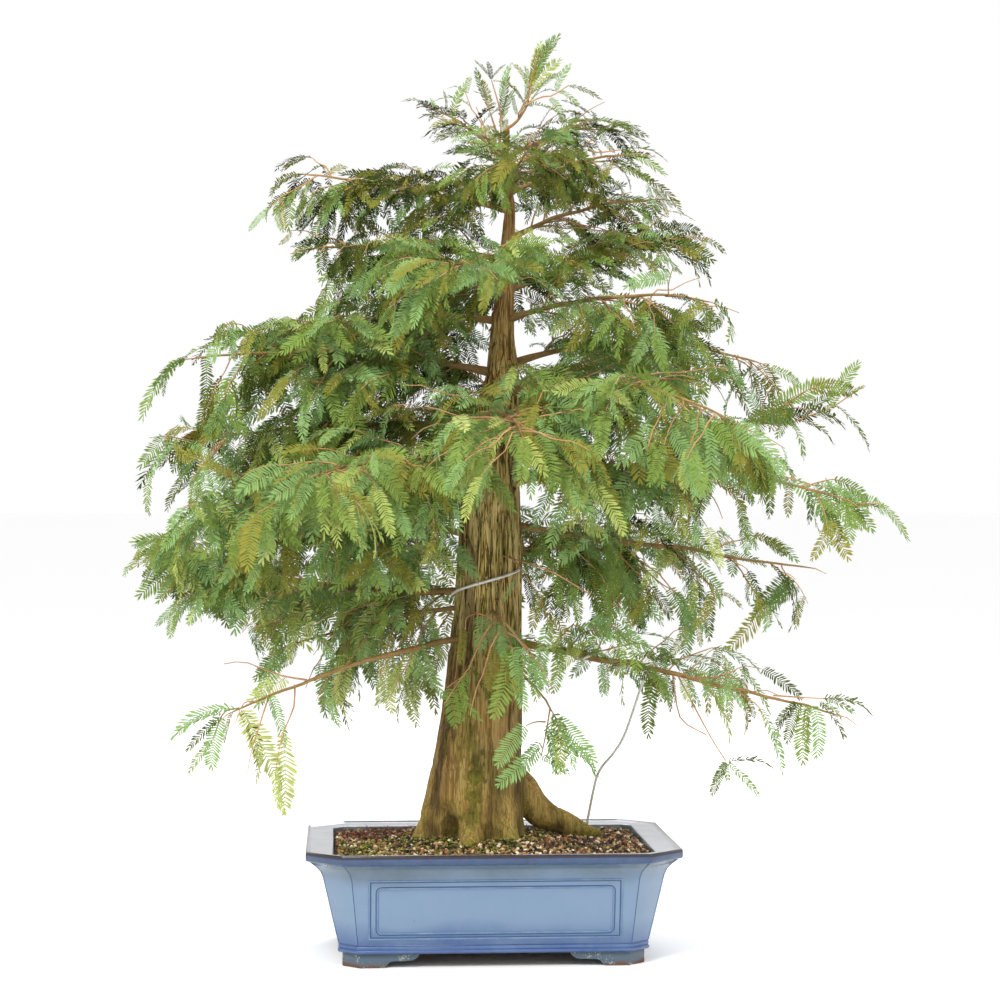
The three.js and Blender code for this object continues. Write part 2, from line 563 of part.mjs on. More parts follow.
// Masses: a stem with shoots left and right, each a twig that ends in a spray
class Mass {
  constructor(limb, index) {
    const random = randomFrom(SEED + index);
    this.limb = limb;
    this.between = (low, high) => THREE.MathUtils.lerp(low, high, random());
    const shrink = THREE.MathUtils.smoothstep(limb.height, SHRINK_FROM, SHRINK_TO);
    this.size = THREE.MathUtils.lerp(1, TOP_SPRAY, shrink);
    this.solids = [];
    this.skins = [];
  }

  stemRing(skin, share) {
    const { stem, stemRadius } = this.limb;
    const radius = THREE.MathUtils.lerp(stemRadius, STEM_TIP_RADIUS, share);
    return skin.ring(frameAt(stem.getPoint(share), stem.getTangent(share)), radius, radius);
  }

  // The direction of a shoot that leaves the stem to one side
  leaving(share, side) {
    const heading = this.limb.stem.getTangent(share);
    heading.applyAxisAngle(UP, side * radians(TWIG_LEAVE * this.between(...TWIG_LEAVE_RANGE)));
    heading.z += this.between(-SHOOT_FALL, SHOOT_LIFT);
    return heading.normalize();
  }

  // The place and size of a spray that hangs from a point, or null where it finds no room
  sprayAt(root, heading, size) {
    const { weep, name } = this.limb;
    const hang = heading.clone()
      .addScaledVector(UP, -SPRAY_WEEP * weep * this.between(...WEEP_RANGE))
      .normalize();
    const place = frameAt(root, hang, radians(this.between(-SPRAY_ROLL, SPRAY_ROLL)));
    const inside = bladePoints.every((point) =>
      inOwnSpace(point.clone().multiplyScalar(size).applyMatrix4(place), name));
    return inside ? { place, size } : null;
  }

  // Something is tried several times, the later ones with a small spray
  attempt(make) {
    for (let tries = 0; tries < SHOOT_TRIES; tries += 1) {
      const made = make(this.size * (tries < SHOOT_TRIES / 2 ? 1 : SMALL_SPRAY));
      if (made) {
        return made;
      }
    }
    return null;
  }

  // A twig with its spray, grown from the four corners of one side of the stem. It is kept
  // where it stays in the mass's space and clear of the mass's other shoots.
  shoot(corners, share, side, reach, size) {
    const root = middleOf(corners);
    const { name, spread } = this.limb;
    const length = spread * (1 - TWIG_LOSS * share) * reach * this.between(...TWIG_RANGE);
    const heading = this.leaving(share, side);
    const end = root.clone()
      .addScaledVector(heading, Math.max(TWIG_SHORTEST, length))
      .addScaledVector(UP, -length * TWIG_SAG);
    const spray = this.sprayAt(end, heading, size);
    if (!spray || !inOwnSpace(root.clone().lerp(end, 0.5), name)) {
      return null;
    }
    const skin = new Skin();
    const foot = corners.map((corner) => skin.add(corner.clone()));
    const neck = skin.neck(spray);
    const turn = this.alignment(corners, neck.map((index) => skin.points[index]));
    skin.bridge(foot, [0, 1, 2, 3].map((k) => neck[(k + turn) % 4]));
    skin.blade(spray, neck);
    const open = skin.geometry();
    skin.close(foot, false);
    const solid = solidOf(skin.geometry());
    if (this.solids.some((other) => other.minGap(solid, SHOOT_GAP) < SHOOT_GAP)) {
      return null;
    }
    this.solids.push(solid);
    this.skins.push(open);
    return open;
  }

  // How many corners a ring is turned on from the one that it grows from
  alignment(corners, ring) {
    const [low, high] = [middleOf(corners), middleOf(ring)];
    const match = (turn) => corners.reduce((sum, corner, k) => sum
      + corner.clone().sub(low).normalize().dot(ring[(k + turn) % 4].clone().sub(high).normalize()), 0);
    return [0, 1, 2, 3].reduce((best, turn) => (match(turn) > match(best) ? turn : best));
  }

  // The stem's last piece, a spray where one finds room
  stemTip(skin, last) {
    if (this.tip) {
      const neck = skin.neck(this.tip);
      skin.bridge(last, neck);
      skin.blade(this.tip, neck);
    } else {
      const end = this.stemRing(skin, 1);
      skin.bridge(last, end);
      skin.close(end, true);
    }
  }

  solid() {
    const { stem, stemLength, bare } = this.limb;
    this.tip = this.attempt((size) => this.sprayAt(stem.getPoint(1), stem.getTangent(1), size));
    if (this.tip) {
      const blade = new Skin();
      const neck = blade.neck(this.tip);
      blade.close(neck, false);
      blade.blade(this.tip, neck);
      this.solids.push(solidOf(blade.geometry()));
    }
    const skin = new Skin();
    let last = this.stemRing(skin, 0);
    skin.close(last, false);
    const knots = Math.max(1, Math.round(stemLength / TWIG_SPACING));
    for (let k = 0; k < knots; k += 1) {
      const share = (k + 0.75) / (knots + 0.25);
      const half = KNOT_LENGTH / 2 / stemLength;
      const low = this.stemRing(skin, share - half);
      const high = this.stemRing(skin, Math.min(share + half, 1 - half));
      skin.bridge(last, low);
      skin.bridge(low, high, this.shootsAt(skin, low, high, share, k % 2 === 0));
      last = high;
    }
    this.stemTip(skin, last);
    const whole = solidOf(mergeGeometries([skin.geometry(), ...this.skins]));
    return mainBody(bare > 0 ? whole : whole.subtract(trunkRoom));
  }

  // A long shoot to one side of a knot and a short one to the other. The sides of the stem
  // that they grow from are given back, since they stay open there.
  shootsAt(skin, low, high, share, leftLong) {
    const pair = leftLong
      ? [{ face: 0, side: 1, reach: 1 }, { face: 2, side: -1, reach: SHORT_SHOOT }]
      : [{ face: 1, side: -1, reach: 1 }, { face: 3, side: 1, reach: SHORT_SHOOT }];
    return pair.filter(({ face, side, reach }) => {
      const next = (face + 1) % 4;
      const corners = [low[face], low[next], high[next], high[face]]
        .map((index) => skin.points[index]);
      return this.attempt((size) => this.shoot(corners, share, side, reach, size));
    }).map(({ face }) => face);
  }
}

// Assembly
const finishes = {
  glaze: { color: 0x8aa5c0, roughness: 0.25, metalness: 0 },
  clay: { color: 0x4a5560, roughness: 0.6, metalness: 0 },
  soil: { color: 0x7d6b4f, roughness: 0.95, metalness: 0 },
  bark: { color: 0x8a7350, roughness: 0.9, metalness: 0 },
  shoot: { color: 0x9c6b43, roughness: 0.8, metalness: 0 },
  wire: { color: 0xd8d6d0, roughness: 0.35, metalness: 0.9 },
  leafDeep: { color: 0x3f6b3c, roughness: 0.7, metalness: 0 },
  leafMid: { color: 0x5f8c45, roughness: 0.7, metalness: 0 },
  leafFresh: { color: 0x86a94c, roughness: 0.7, metalness: 0 },
};

const plant = new THREE.Group();

function addPiece(name, geometry, finish) {
  const material = new THREE.MeshStandardMaterial({ ...finishes[finish], flatShading: true });
  const mesh = new THREE.Mesh(geometry, material);
  mesh.name = name;
  plant.add(mesh);
}

const trunkRoom = trunkSkin(SEAT).add(surfaceRoot());

addPiece('pot_body', potBody(), 'glaze');
for (const [name, right, back] of [
  ['foot_front_left', -1, -1], ['foot_front_right', 1, -1],
  ['foot_back_left', -1, 1], ['foot_back_right', 1, 1],
]) {
  addPiece(name, potFoot(right, back), 'clay');
}
addPiece('soil', soil(), 'soil');
addPiece('trunk', geometryOf(mainBody(trunkSkin(0).add(surfaceRoot()))), 'bark');
addPiece('guy_wire', wire(guyWirePath(), GUY_STEPS), 'wire');
addPiece('trunk_wire', wire(bandWirePath(), BAND_WIRE_STEPS), 'wire');

limbs.forEach((limb, index) => {
  if (limb.bare > 0) {
    const steps = Math.max(2, Math.round(limb.boughLength / BOUGH_STEP));
    const bough = solidOf(taper(limb.bough, steps, BOUGH_SIDES, limb.girth, limb.stemRadius));
    addPiece(`bough_${limb.name}`, geometryOf(mainBody(bough.subtract(trunkRoom))), 'shoot');
  }
  const leaf = limb.height > 700 ? 'leafDeep' : limb.turn > 0 ? 'leafMid' : 'leafFresh';
  addPiece(`mass_${limb.name}`, geometryOf(new Mass(limb, index).solid()), leaf);
});

export default plant;
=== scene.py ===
"""The dressed model of a bald cypress bonsai in a blue glazed pot.

Sizes are in millimetres in the row's frame, +Z up and -Y to the front, and become metres
where a mesh is made. The limbs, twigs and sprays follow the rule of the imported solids,
carried on to finer twigs and single needles.
"""

import logging
import math
from collections.abc import Callable, Iterable, Sequence
from dataclasses import dataclass, field, replace
from enum import Enum

import bmesh
import bpy
import numpy as np
from mathutils import Matrix, Vector, noise


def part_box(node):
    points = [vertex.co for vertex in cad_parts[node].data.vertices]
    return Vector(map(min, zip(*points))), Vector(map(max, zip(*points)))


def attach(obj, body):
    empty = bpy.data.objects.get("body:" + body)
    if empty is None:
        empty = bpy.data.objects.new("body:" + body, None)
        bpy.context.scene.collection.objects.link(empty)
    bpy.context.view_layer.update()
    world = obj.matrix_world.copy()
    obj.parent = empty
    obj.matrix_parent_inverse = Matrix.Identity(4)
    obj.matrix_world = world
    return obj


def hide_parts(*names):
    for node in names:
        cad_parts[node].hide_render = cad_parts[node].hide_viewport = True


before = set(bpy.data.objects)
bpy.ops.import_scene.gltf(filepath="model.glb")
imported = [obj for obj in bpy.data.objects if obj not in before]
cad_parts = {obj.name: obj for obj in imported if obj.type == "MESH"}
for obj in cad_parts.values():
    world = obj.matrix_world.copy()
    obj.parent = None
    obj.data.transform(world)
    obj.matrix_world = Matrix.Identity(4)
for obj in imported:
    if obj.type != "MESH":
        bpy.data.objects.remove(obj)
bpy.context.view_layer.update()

log = logging.getLogger("bonsai")

MM = 0.001
UP = Vector((0.0, 0.0, 1.0))
SEED = 20417
ANY_TURN = 6.28  # radians that a strewn thing may be turned by
THIRDS = tuple(math.tau * corner / 3 for corner in range(3))  # corners of a three-sided skin

Color = tuple[float, float, float]
Socket = bpy.types.NodeSocket


class Tint(Enum):
    """The tints that are dealt out to the sprays, from the shaded to the youngest."""

    DEEP = "deep"
    SHADE = "shade"
    OLIVE = "olive"
    MID = "mid"
    MINT = "mint"
    FRESH = "fresh"
    LIME = "lime"
    RUST = "rust"


class Slot(Enum):
    """The record's material slots."""

    GLAZE = "glaze"
    CLAY = "clay"
    SOIL = "soil"
    BARK = "bark"
    SHOOT = "shoot_bark"
    WIRE = "wire"
    DEEP_LEAF = "leaf_deep"
    MID_LEAF = "leaf_mid"
    FRESH_LEAF = "leaf_fresh"


def srgb(red: int, green: int, blue: int) -> Color:
    """Linear colour of an 8-bit display colour.

    Args:
        red: Red from 0 to 255.
        green: Green from 0 to 255.
        blue: Blue from 0 to 255.

    Returns:
        The same colour as three linear values.
    """
    shares = (channel / 255 for channel in (red, green, blue))
    return tuple(c / 12.92 if c <= 0.04045 else ((c + 0.055) / 1.055) ** 2.4 for c in shares)


def smooth(low: float, high: float, value: float) -> float:
    """Smooth step of a value from 0 at low to 1 at high."""
    share = min(1.0, max(0.0, (value - low) / (high - low)))
    return share * share * (3 - 2 * share)


class Nodes:
    """Adds the nodes of one node tree and joins their sockets."""

    def __init__(self, tree: bpy.types.NodeTree) -> None:
        """Takes the tree to fill."""
        self.tree = tree

    def feed(self, socket: Socket, value: object) -> None:
        """Gives an input a value or another node's socket."""
        if isinstance(value, Socket):
            self.tree.links.new(value, socket)
        else:
            socket.default_value = value

    def add(self, kind: str, inputs: dict | None = None, **settings: object) -> bpy.types.Node:
        """Adds a node.

        Args:
            kind: The node's type name after "ShaderNode".
            inputs: Socket name or number to a value or to another node's socket.
            settings: Attributes of the node.

        Returns:
            The new node.
        """
        node = self.tree.nodes.new("ShaderNode" + kind)
        for name, value in settings.items():
            setattr(node, name, value)
        for name, value in (inputs or {}).items():
            self.feed(node.inputs[name], value)
        return node

    def math(self, operation: str, *values: float | Socket) -> Socket:
        """Result of a math node on its values in order."""
        return self.add("Math", dict(enumerate(values)), operation=operation).outputs[0]

    def sum(self, first: float | Socket, second: float | Socket) -> Socket:
        """Two values added."""
        return self.math("ADD", first, second)

    def less(self, first: float | Socket, second: float | Socket) -> Socket:
        """The first value less the second."""
        return self.math("SUBTRACT", first, second)

    def times(self, first: float | Socket, second: float | Socket) -> Socket:
        """Two values multiplied."""
        return self.math("MULTIPLY", first, second)

    def blend(self, share: float | Socket, low: Color | Socket, high: Color | Socket) -> Socket:
        """Colour between two colours."""
        ends = [c if isinstance(c, Socket) else (*c, 1.0) for c in (low, high)]
        node = self.add("Mix", {0: share, 6: ends[0], 7: ends[1]}, data_type="RGBA")
        return node.outputs[2]

    def span(self, value: Socket, low: float, high: float) -> Socket:
        """A value's smooth step from low to high, as 0 to 1."""
        inputs = {"Value": value, "From Min": low, "From Max": high}
        return self.add("MapRange", inputs, interpolation_type="SMOOTHSTEP").outputs[0]

    def below(self, value: Socket, low: float, high: float) -> Socket:
        """1 where a value is under low, and 0 where it is over high."""
        return self.less(1.0, self.span(value, low, high))

    def noise(
        self, where: Socket, scale: float | Socket, detail: float = 2.0, roughness: float = 0.5
    ) -> Socket:
        """A noise texture's value at a place."""
        inputs = {"Vector": where, "Scale": scale, "Detail": detail, "Roughness": roughness}
        return self.add("TexNoise", inputs).outputs[0]

    def ramp(self, share: Socket, stops: Sequence[tuple[float, Color]], steps: bool = False) -> Socket:
        """Colour ramp.

        Args:
            share: Where on the ramp, 0 to 1.
            stops: Place and colour of each stop, in order.
            steps: Whether the colours change at once at each stop.

        Returns:
            The colour's socket.
        """
        node = self.add("ValToRGB", {0: share})
        node.color_ramp.interpolation = "CONSTANT" if steps else "LINEAR"
        for k, (place, color) in enumerate(stops):
            items = node.color_ramp.elements
            item = items[k] if k < 2 else items.new(place)
            item.position = place
            item.color = (*color, 1.0)
        return node.outputs[0]

    def place(self, scale: Sequence[float] = (1.0, 1.0, 1.0)) -> Socket:
        """Object coordinates, stretched."""
        coordinates = self.add("TexCoord").outputs["Object"]
        return self.add("Mapping", {"Vector": coordinates, "Scale": scale}).outputs[0]

    def height(self) -> Socket:
        """Height over the table in metres."""
        coordinates = self.add("TexCoord").outputs["Object"]
        return self.add("SeparateXYZ", {0: coordinates}).outputs[2]

    def attribute(self, name: str) -> Socket:
        """A mesh attribute's value."""
        return self.add("Attribute", attribute_name=name).outputs["Fac"]

    def group(self, tree: bpy.types.NodeTree, **inputs: float | Socket) -> bpy.types.NodeOutputs:
        """Places a node group, its inputs given by name, and returns its outputs."""
        node = self.add("Group", node_tree=tree)
        for name, value in inputs.items():
            self.feed(node.inputs[name.title()], value)
        return node.outputs


def new_group(
    name: str, inputs: dict[str, float | None], outputs: Sequence[str]
) -> tuple[Nodes, bpy.types.NodeOutputs, bpy.types.NodeInputs]:
    """Starts a node group.

    Args:
        name: The group's name.
        inputs: Input name to its default value, or to None for a vector.
        outputs: Names of the float outputs.

    Returns:
        Its node maker, the sockets that its inputs come from and those that its results go to.
    """
    tree = bpy.data.node_groups.new(name, "ShaderNodeTree")
    for label, default in inputs.items():
        kind = "NodeSocketVector" if default is None else "NodeSocketFloat"
        socket = tree.interface.new_socket(name=label, in_out="INPUT", socket_type=kind)
        if default is not None:
            socket.default_value = default
    for label in outputs:
        tree.interface.new_socket(name=label, in_out="OUTPUT", socket_type="NodeSocketFloat")
    entry = tree.nodes.new("NodeGroupInput")
    leave = tree.nodes.new("NodeGroupOutput")
    return Nodes(tree), entry.outputs, leave.inputs


@dataclass
class SharedEffects:
    """Node groups that more than one material uses."""

    mottle: bpy.types.NodeTree = field(init=False)
    fleck: bpy.types.NodeTree = field(init=False)
    fibre: bpy.types.NodeTree = field(init=False)

    def __post_init__(self) -> None:
        """Builds the groups."""
        self.mottle = self._mottle()
        self.fleck = self._fleck()
        self.fibre = self._fibre()

    def _mottle(self) -> bpy.types.NodeTree:
        """Soft clouds of two sizes."""
        defaults = {"Vector": None, "Scale": 20.0, "Contrast": 0.5}
        nodes, (where, scale, contrast, *_), leave = new_group("soft mottle", defaults, ["Mask"])
        broad = nodes.noise(where, scale, detail=4.0)
        fine = nodes.noise(where, nodes.times(scale, 6.0))
        fine_share = 0.35
        middle = 0.5 * (1 + fine_share)
        spread = nodes.less(nodes.sum(broad, nodes.times(fine, fine_share)), middle)
        mask = nodes.sum(nodes.math("DIVIDE", spread, contrast), 0.5)
        nodes.feed(leave[0], nodes.add("Clamp", {0: mask}).outputs[0])
        return nodes.tree

    def _fleck(self) -> bpy.types.NodeTree:
        """Scattered small dots, 1 inside a dot."""
        defaults = {"Vector": None, "Scale": 200.0, "Size": 0.15}
        nodes, (where, scale, size, *_), leave = new_group("flecks", defaults, ["Mask"])
        cells = nodes.add("TexVoronoi", {"Vector": where, "Scale": scale})
        uneven = nodes.span(nodes.noise(where, 60.0), 0.45, 0.75)
        inside = nodes.math("LESS_THAN", cells.outputs["Distance"], nodes.times(size, uneven))
        nodes.feed(leave[0], inside)
        return nodes.tree

    def _fibre(self) -> bpy.types.NodeTree:
        """Long fibres and the furrows between them, for a vector already stretched."""
        defaults = {"Vector": None, "Scale": 60.0}
        nodes, (where, scale, *_), leave = new_group("bark fibre", defaults, ["Height", "Furrow"])
        strand = nodes.noise(where, scale, detail=6.0, roughness=0.65)
        crack = nodes.noise(where, nodes.times(scale, 2.3), detail=3.0)
        edge = nodes.math("ABSOLUTE", nodes.less(crack, 0.5))
        furrow = nodes.below(edge, 0.0, 0.055)
        nodes.feed(leave[0], nodes.less(strand, nodes.times(furrow, 0.35)))
        nodes.feed(leave[1], furrow)
        return nodes.tree


class Shader:
    """A material with a Principled shader."""

    def __init__(self, name: str, **constants: float | Color) -> None:
        """Starts a material.

        Args:
            name: The material's name.
            constants: Shader inputs that are the same all over, spaces as underscores.
        """
        self.material = bpy.data.materials.new(name)
        self.material.use_nodes = True
        self.nodes = Nodes(self.material.node_tree)
        self.inputs = self.material.node_tree.nodes["Principled BSDF"].inputs
        for label, value in constants.items():
            value = (*value, 1.0) if isinstance(value, tuple) else value
            self.inputs[label.replace("_", " ")].default_value = value

    def paint(self, color: Socket) -> None:
        """Sets its colour."""
        self.nodes.feed(self.inputs["Base Color"], color)

    def bump(self, height: Socket, strength: float, distance: float) -> None:
        """Gives it a bump of a distance in metres."""
        inputs = {"Strength": strength, "Distance": distance, "Height": height}
        self.nodes.feed(self.inputs["Normal"], self.nodes.add("Bump", inputs).outputs[0])


@dataclass(frozen=True)
class PlainFinish:
    """One plain colour, as the waxy needles and the pot's bare underside have."""

    name: str
    color: Color
    roughness: float = 0.7
    shine: float = 0.1

    def material(self) -> bpy.types.Material:
        """Builds the finish."""
        shader = Shader(
            self.name, Base_Color=self.color, Roughness=self.roughness, Specular_IOR_Level=self.shine
        )
        return shader.material


@dataclass(frozen=True)
class GlazeFinish:
    """Glossy blue glaze, deep blue where it has run down and pooled and paler above that, turned dark
    grey by painted shade in the cove under the rim.
    """

    effects: SharedEffects
    # painted shade: the dark grey at the wall's top, in the cove under the rim's overhang
    crown: Color = srgb(78, 94, 104)
    middle: Color = srgb(102, 126, 152)
    foot: Color = srgb(36, 70, 126)
    cloud: Color = srgb(118, 138, 160)
    fleck: Color = srgb(60, 44, 52)
    height: float = 0.12
    sway: float = 0.034  # how far the glaze's levels wander up and down, in metres

    def material(self) -> bpy.types.Material:
        """Builds the finish of the pot's walls."""
        shader = Shader("glaze_wall", Roughness=0.22, Coat_Weight=0.35, Coat_Roughness=0.08)
        nodes = shader.nodes
        where = nodes.place()
        drift = nodes.times(nodes.less(nodes.noise(where, 14.0), 0.5), self.sway)
        level = nodes.math("DIVIDE", nodes.sum(nodes.height(), drift), self.height)
        # the top stop is painted shade under the rim
        stops = [(0.17, self.foot), (0.42, self.middle), (0.74, self.middle), (0.93, self.crown)]
        run = nodes.ramp(level, stops)
        clouds = nodes.group(self.effects.mottle, vector=where, scale=34.0, contrast=0.7)[0]
        tone = nodes.blend(nodes.times(clouds, 0.35), run, self.cloud)
        dots = nodes.group(self.effects.fleck, vector=where, scale=90.0, size=0.09)[0]
        shader.paint(nodes.blend(nodes.times(dots, 0.7), tone, self.fleck))
        shader.bump(nodes.noise(where, 70.0), strength=0.25, distance=0.0006)
        return shader.material


@dataclass(frozen=True)
class BandFinish:
    """Glossy glaze in one colour that breaks to another in clouds and flecks."""

    effects: SharedEffects
    name: str
    base: Color
    cloud: Color
    fleck: Color
    roughness: float = 0.2
    fleck_size: float = 0.14

    def material(self) -> bpy.types.Material:
        """Builds the finish."""
        shader = Shader(self.name, Roughness=self.roughness, Coat_Weight=0.3)
        nodes = shader.nodes
        where = nodes.place()
        clouds = nodes.group(self.effects.mottle, vector=where, scale=40.0, contrast=0.5)[0]
        tone = nodes.blend(clouds, self.base, self.cloud)
        dots = nodes.group(self.effects.fleck, vector=where, scale=160.0, size=self.fleck_size)[0]
        shader.paint(nodes.blend(nodes.times(dots, 0.8), tone, self.fleck))
        shader.bump(nodes.noise(where, 120.0), strength=0.3, distance=0.0005)
        return shader.material


@dataclass(frozen=True)
class FootFinish:
    """Dark blue glaze that thins to bare brown clay at the foot, with pale specks."""

    effects: SharedEffects
    glaze: Color = srgb(66, 84, 98)
    clay: Color = srgb(92, 64, 48)
    speck: Color = srgb(156, 164, 148)
    bare_height: tuple[float, float] = (0.003, 0.0095)  # where the clay begins to be covered, and is

    def material(self) -> bpy.types.Material:
        """Builds the finish."""
        shader = Shader("foot_clay", Coat_Weight=0.1)
        nodes = shader.nodes
        where = nodes.place()
        clouds = nodes.group(self.effects.mottle, vector=where, scale=60.0, contrast=0.5)[0]
        level = nodes.sum(nodes.height(), nodes.times(clouds, 0.005))
        bare = nodes.below(level, *self.bare_height)
        dots = nodes.group(self.effects.fleck, vector=where, scale=420.0, size=0.62)[0]
        tone = nodes.blend(bare, self.glaze, self.clay)
        shader.paint(nodes.blend(nodes.times(dots, 0.6), tone, self.speck))
        nodes.feed(shader.inputs["Roughness"], nodes.span(bare, -0.6, 1.4))
        shader.bump(nodes.noise(where, 400.0), strength=0.5, distance=0.0005)
        return shader.material


@dataclass(frozen=True)
class CloudedFinish:
    """Two tones in soft clouds, as on earth, moss, fallen needles and dull wire."""

    effects: SharedEffects
    name: str
    base: Color
    cloud: Color
    scale: float  # how fine the clouds are
    roughness: float
    contrast: float = 0.5  # how softly the clouds end
    shine: float = 0.5
    metallic: float = 0.0
    dents: tuple[float, float, float] | None = None  # their scale, strength and depth in metres

    def material(self) -> bpy.types.Material:
        """Builds the finish."""
        shader = Shader(
            self.name, Roughness=self.roughness, Metallic=self.metallic, Specular_IOR_Level=self.shine
        )
        nodes = shader.nodes
        where = nodes.place()
        mottle = self.effects.mottle
        clouds = nodes.group(mottle, vector=where, scale=self.scale, contrast=self.contrast)[0]
        shader.paint(nodes.blend(clouds, self.base, self.cloud))
        if self.dents:
            fineness, strength, distance = self.dents
            shader.bump(nodes.noise(where, fineness), strength, distance)
        return shader.material


@dataclass(frozen=True)
class GritFinish:
    """Grit whose grains each take one of several stone colours from their attribute."""

    effects: SharedEffects
    dust: Color = srgb(70, 54, 34)
    stones: tuple[Color, ...] = (
        srgb(16, 12, 9),
        srgb(28, 20, 13),
        srgb(44, 31, 20),
        srgb(58, 42, 26),
        srgb(104, 78, 48),
        srgb(148, 114, 72),
        srgb(176, 140, 86),
        srgb(214, 184, 138),
        srgb(154, 96, 50),
        srgb(94, 92, 46),
        srgb(238, 220, 188),
    )

    def material(self) -> bpy.types.Material:
        """Builds the finish."""
        shader = Shader("grit", Roughness=0.8)
        nodes = shader.nodes
        stops = [(k / len(self.stones), color) for k, color in enumerate(self.stones)]
        stone = nodes.ramp(nodes.attribute("tint"), stops, steps=True)
        dust = nodes.group(self.effects.mottle, vector=nodes.place(), scale=260.0, contrast=0.6)[0]
        shader.paint(nodes.blend(nodes.times(dust, 0.12), stone, self.dust))
        return shader.material


@dataclass(frozen=True)
class BarkFinish:
    """Fibrous bark: pale and dark strands above, smoother and olive at the foot, mossy grooves, and
    painted shade in sunken bark and hollows.

    Heights are in metres over the table, as pairs of where a change begins and ends.
    """

    effects: SharedEffects
    furrow: Color = srgb(36, 24, 12)
    body: Color = srgb(134, 110, 56)
    strip: Color = srgb(194, 162, 92)
    pale: Color = srgb(222, 198, 134)
    calm: Color = srgb(118, 96, 50)
    dusk: Color = srgb(78, 58, 34)
    tan: Color = srgb(186, 152, 82)
    olive: Color = srgb(108, 104, 32)
    young: Color = srgb(142, 90, 50)
    rust: Color = srgb(150, 96, 46)
    moss: Color = srgb(124, 120, 34)
    deep_moss: Color = srgb(36, 40, 10)
    smooth_height: tuple[float, float] = (0.27, 0.4)
    foot_height: tuple[float, float] = (0.135, 0.21)
    young_height: tuple[float, float] = (0.5, 0.82)

    def material(self) -> bpy.types.Material:
        """Builds the finish."""
        shader = Shader("trunk_bark", Roughness=0.88, Specular_IOR_Level=0.25)
        nodes = shader.nodes
        fibre, mottle = self.effects.fibre, self.effects.mottle
        fine = nodes.group(fibre, vector=nodes.place((1.0, 1.0, 0.05)), scale=210.0)[0]
        broad = nodes.group(fibre, vector=nodes.place((1.0, 1.0, 0.05)), scale=62.0)[0]
        grain = nodes.span(nodes.sum(fine, broad), 0.52, 1.08)
        stops = [(0.0, self.furrow), (0.34, self.body), (0.7, self.strip), (1.0, self.pale)]
        tone = nodes.ramp(grain, stops)
        up = nodes.height()
        patch = nodes.group(mottle, vector=nodes.place((1, 1, 0.3)), scale=17.0, contrast=0.3)[0]
        cloud = nodes.group(mottle, vector=nodes.place((1, 1, 0.4)), scale=34.0, contrast=0.35)[0]
        smooth_part = nodes.below(up, *self.smooth_height)
        foot = nodes.below(up, *self.foot_height)
        even = nodes.blend(patch, self.calm, self.dusk)
        even = nodes.blend(foot, even, nodes.blend(patch, self.tan, self.olive))
        tone = nodes.blend(nodes.times(smooth_part, 0.66), tone, even)
        warm = nodes.times(cloud, nodes.times(smooth_part, 0.3))
        tone = nodes.blend(warm, tone, self.rust)
        tone = nodes.blend(nodes.times(nodes.less(1.0, cloud), 0.45), tone, self.olive)
        tone = nodes.blend(nodes.times(nodes.span(up, *self.young_height), 0.6), tone, self.young)
        # painted shade: sunken bark and hollows take the furrow colour
        hollow_shade = nodes.below(nodes.attribute("relief"), 0.12, 0.5)
        tone = nodes.blend(nodes.times(hollow_shade, 0.7), tone, self.furrow)
        tufts = nodes.group(mottle, vector=nodes.place(), scale=110.0, contrast=0.5)[0]
        mossy = nodes.blend(tufts, self.deep_moss, self.moss)
        thick = nodes.attribute("moss")
        uneven = nodes.sum(thick, nodes.times(tufts, 0.7))
        cover = nodes.times(nodes.span(uneven, 0.45, 1.6), 0.82)
        shader.paint(nodes.blend(cover, tone, mossy))
        shader.bump(nodes.sum(fine, nodes.times(tufts, thick)), strength=0.8, distance=0.0018)
        return shader.material


@dataclass(frozen=True)
class LimbFinish:
    """Thin young bark in two tones with fine lengthways fibre."""

    effects: SharedEffects
    name: str
    base: Color
    warm: Color
    furrow: Color = srgb(70, 46, 34)

    def material(self) -> bpy.types.Material:
        """Builds the finish."""
        shader = Shader(self.name, Roughness=0.7, Specular_IOR_Level=0.3)
        nodes = shader.nodes
        fibre, mottle = self.effects.fibre, self.effects.mottle
        clouds = nodes.group(mottle, vector=nodes.place(), scale=45.0, contrast=0.5)[0]
        tone = nodes.blend(clouds, self.base, self.warm)
        height, furrow = nodes.group(fibre, vector=nodes.place((0.25, 0.25, 1.0)), scale=420.0)
        shader.paint(nodes.blend(nodes.times(furrow, 0.3), tone, self.furrow))
        shader.bump(height, strength=0.4, distance=0.0005)
        return shader.material


def deselect() -> None:
    """Leaves edit mode and selects nothing."""
    if bpy.context.object and bpy.context.object.mode != "OBJECT":
        bpy.ops.object.mode_set(mode="OBJECT")
    bpy.ops.object.select_all(action="DESELECT")


def activate(*objects: bpy.types.Object) -> None:
    """Selects these objects alone, the first one active."""
    deselect()
    for item in objects:
        item.select_set(True)
    bpy.context.view_layer.objects.active = objects[0]


def flat_face(name: str, points: Sequence[Vector]) -> bpy.types.Object:
    """A single face through points in millimetres."""
    deselect()
    bpy.ops.mesh.primitive_circle_add(vertices=len(points), radius=1.0, fill_type="NGON")
    made = bpy.context.object
    made.name = made.data.name = name
    for vertex, point in zip(made.data.vertices, points):
        vertex.co = point * MM
    return made


def edit_all() -> None:
    """Opens the active object in edit mode with all of it selected."""
    bpy.ops.object.mode_set(mode="EDIT")
    bpy.ops.mesh.select_all(action="SELECT")


def close_solid() -> None:
    """Turns all faces of the edited solid outwards and leaves edit mode."""
    bpy.ops.mesh.select_all(action="SELECT")
    bpy.ops.mesh.normals_make_consistent(inside=False)
    bpy.ops.object.mode_set(mode="OBJECT")


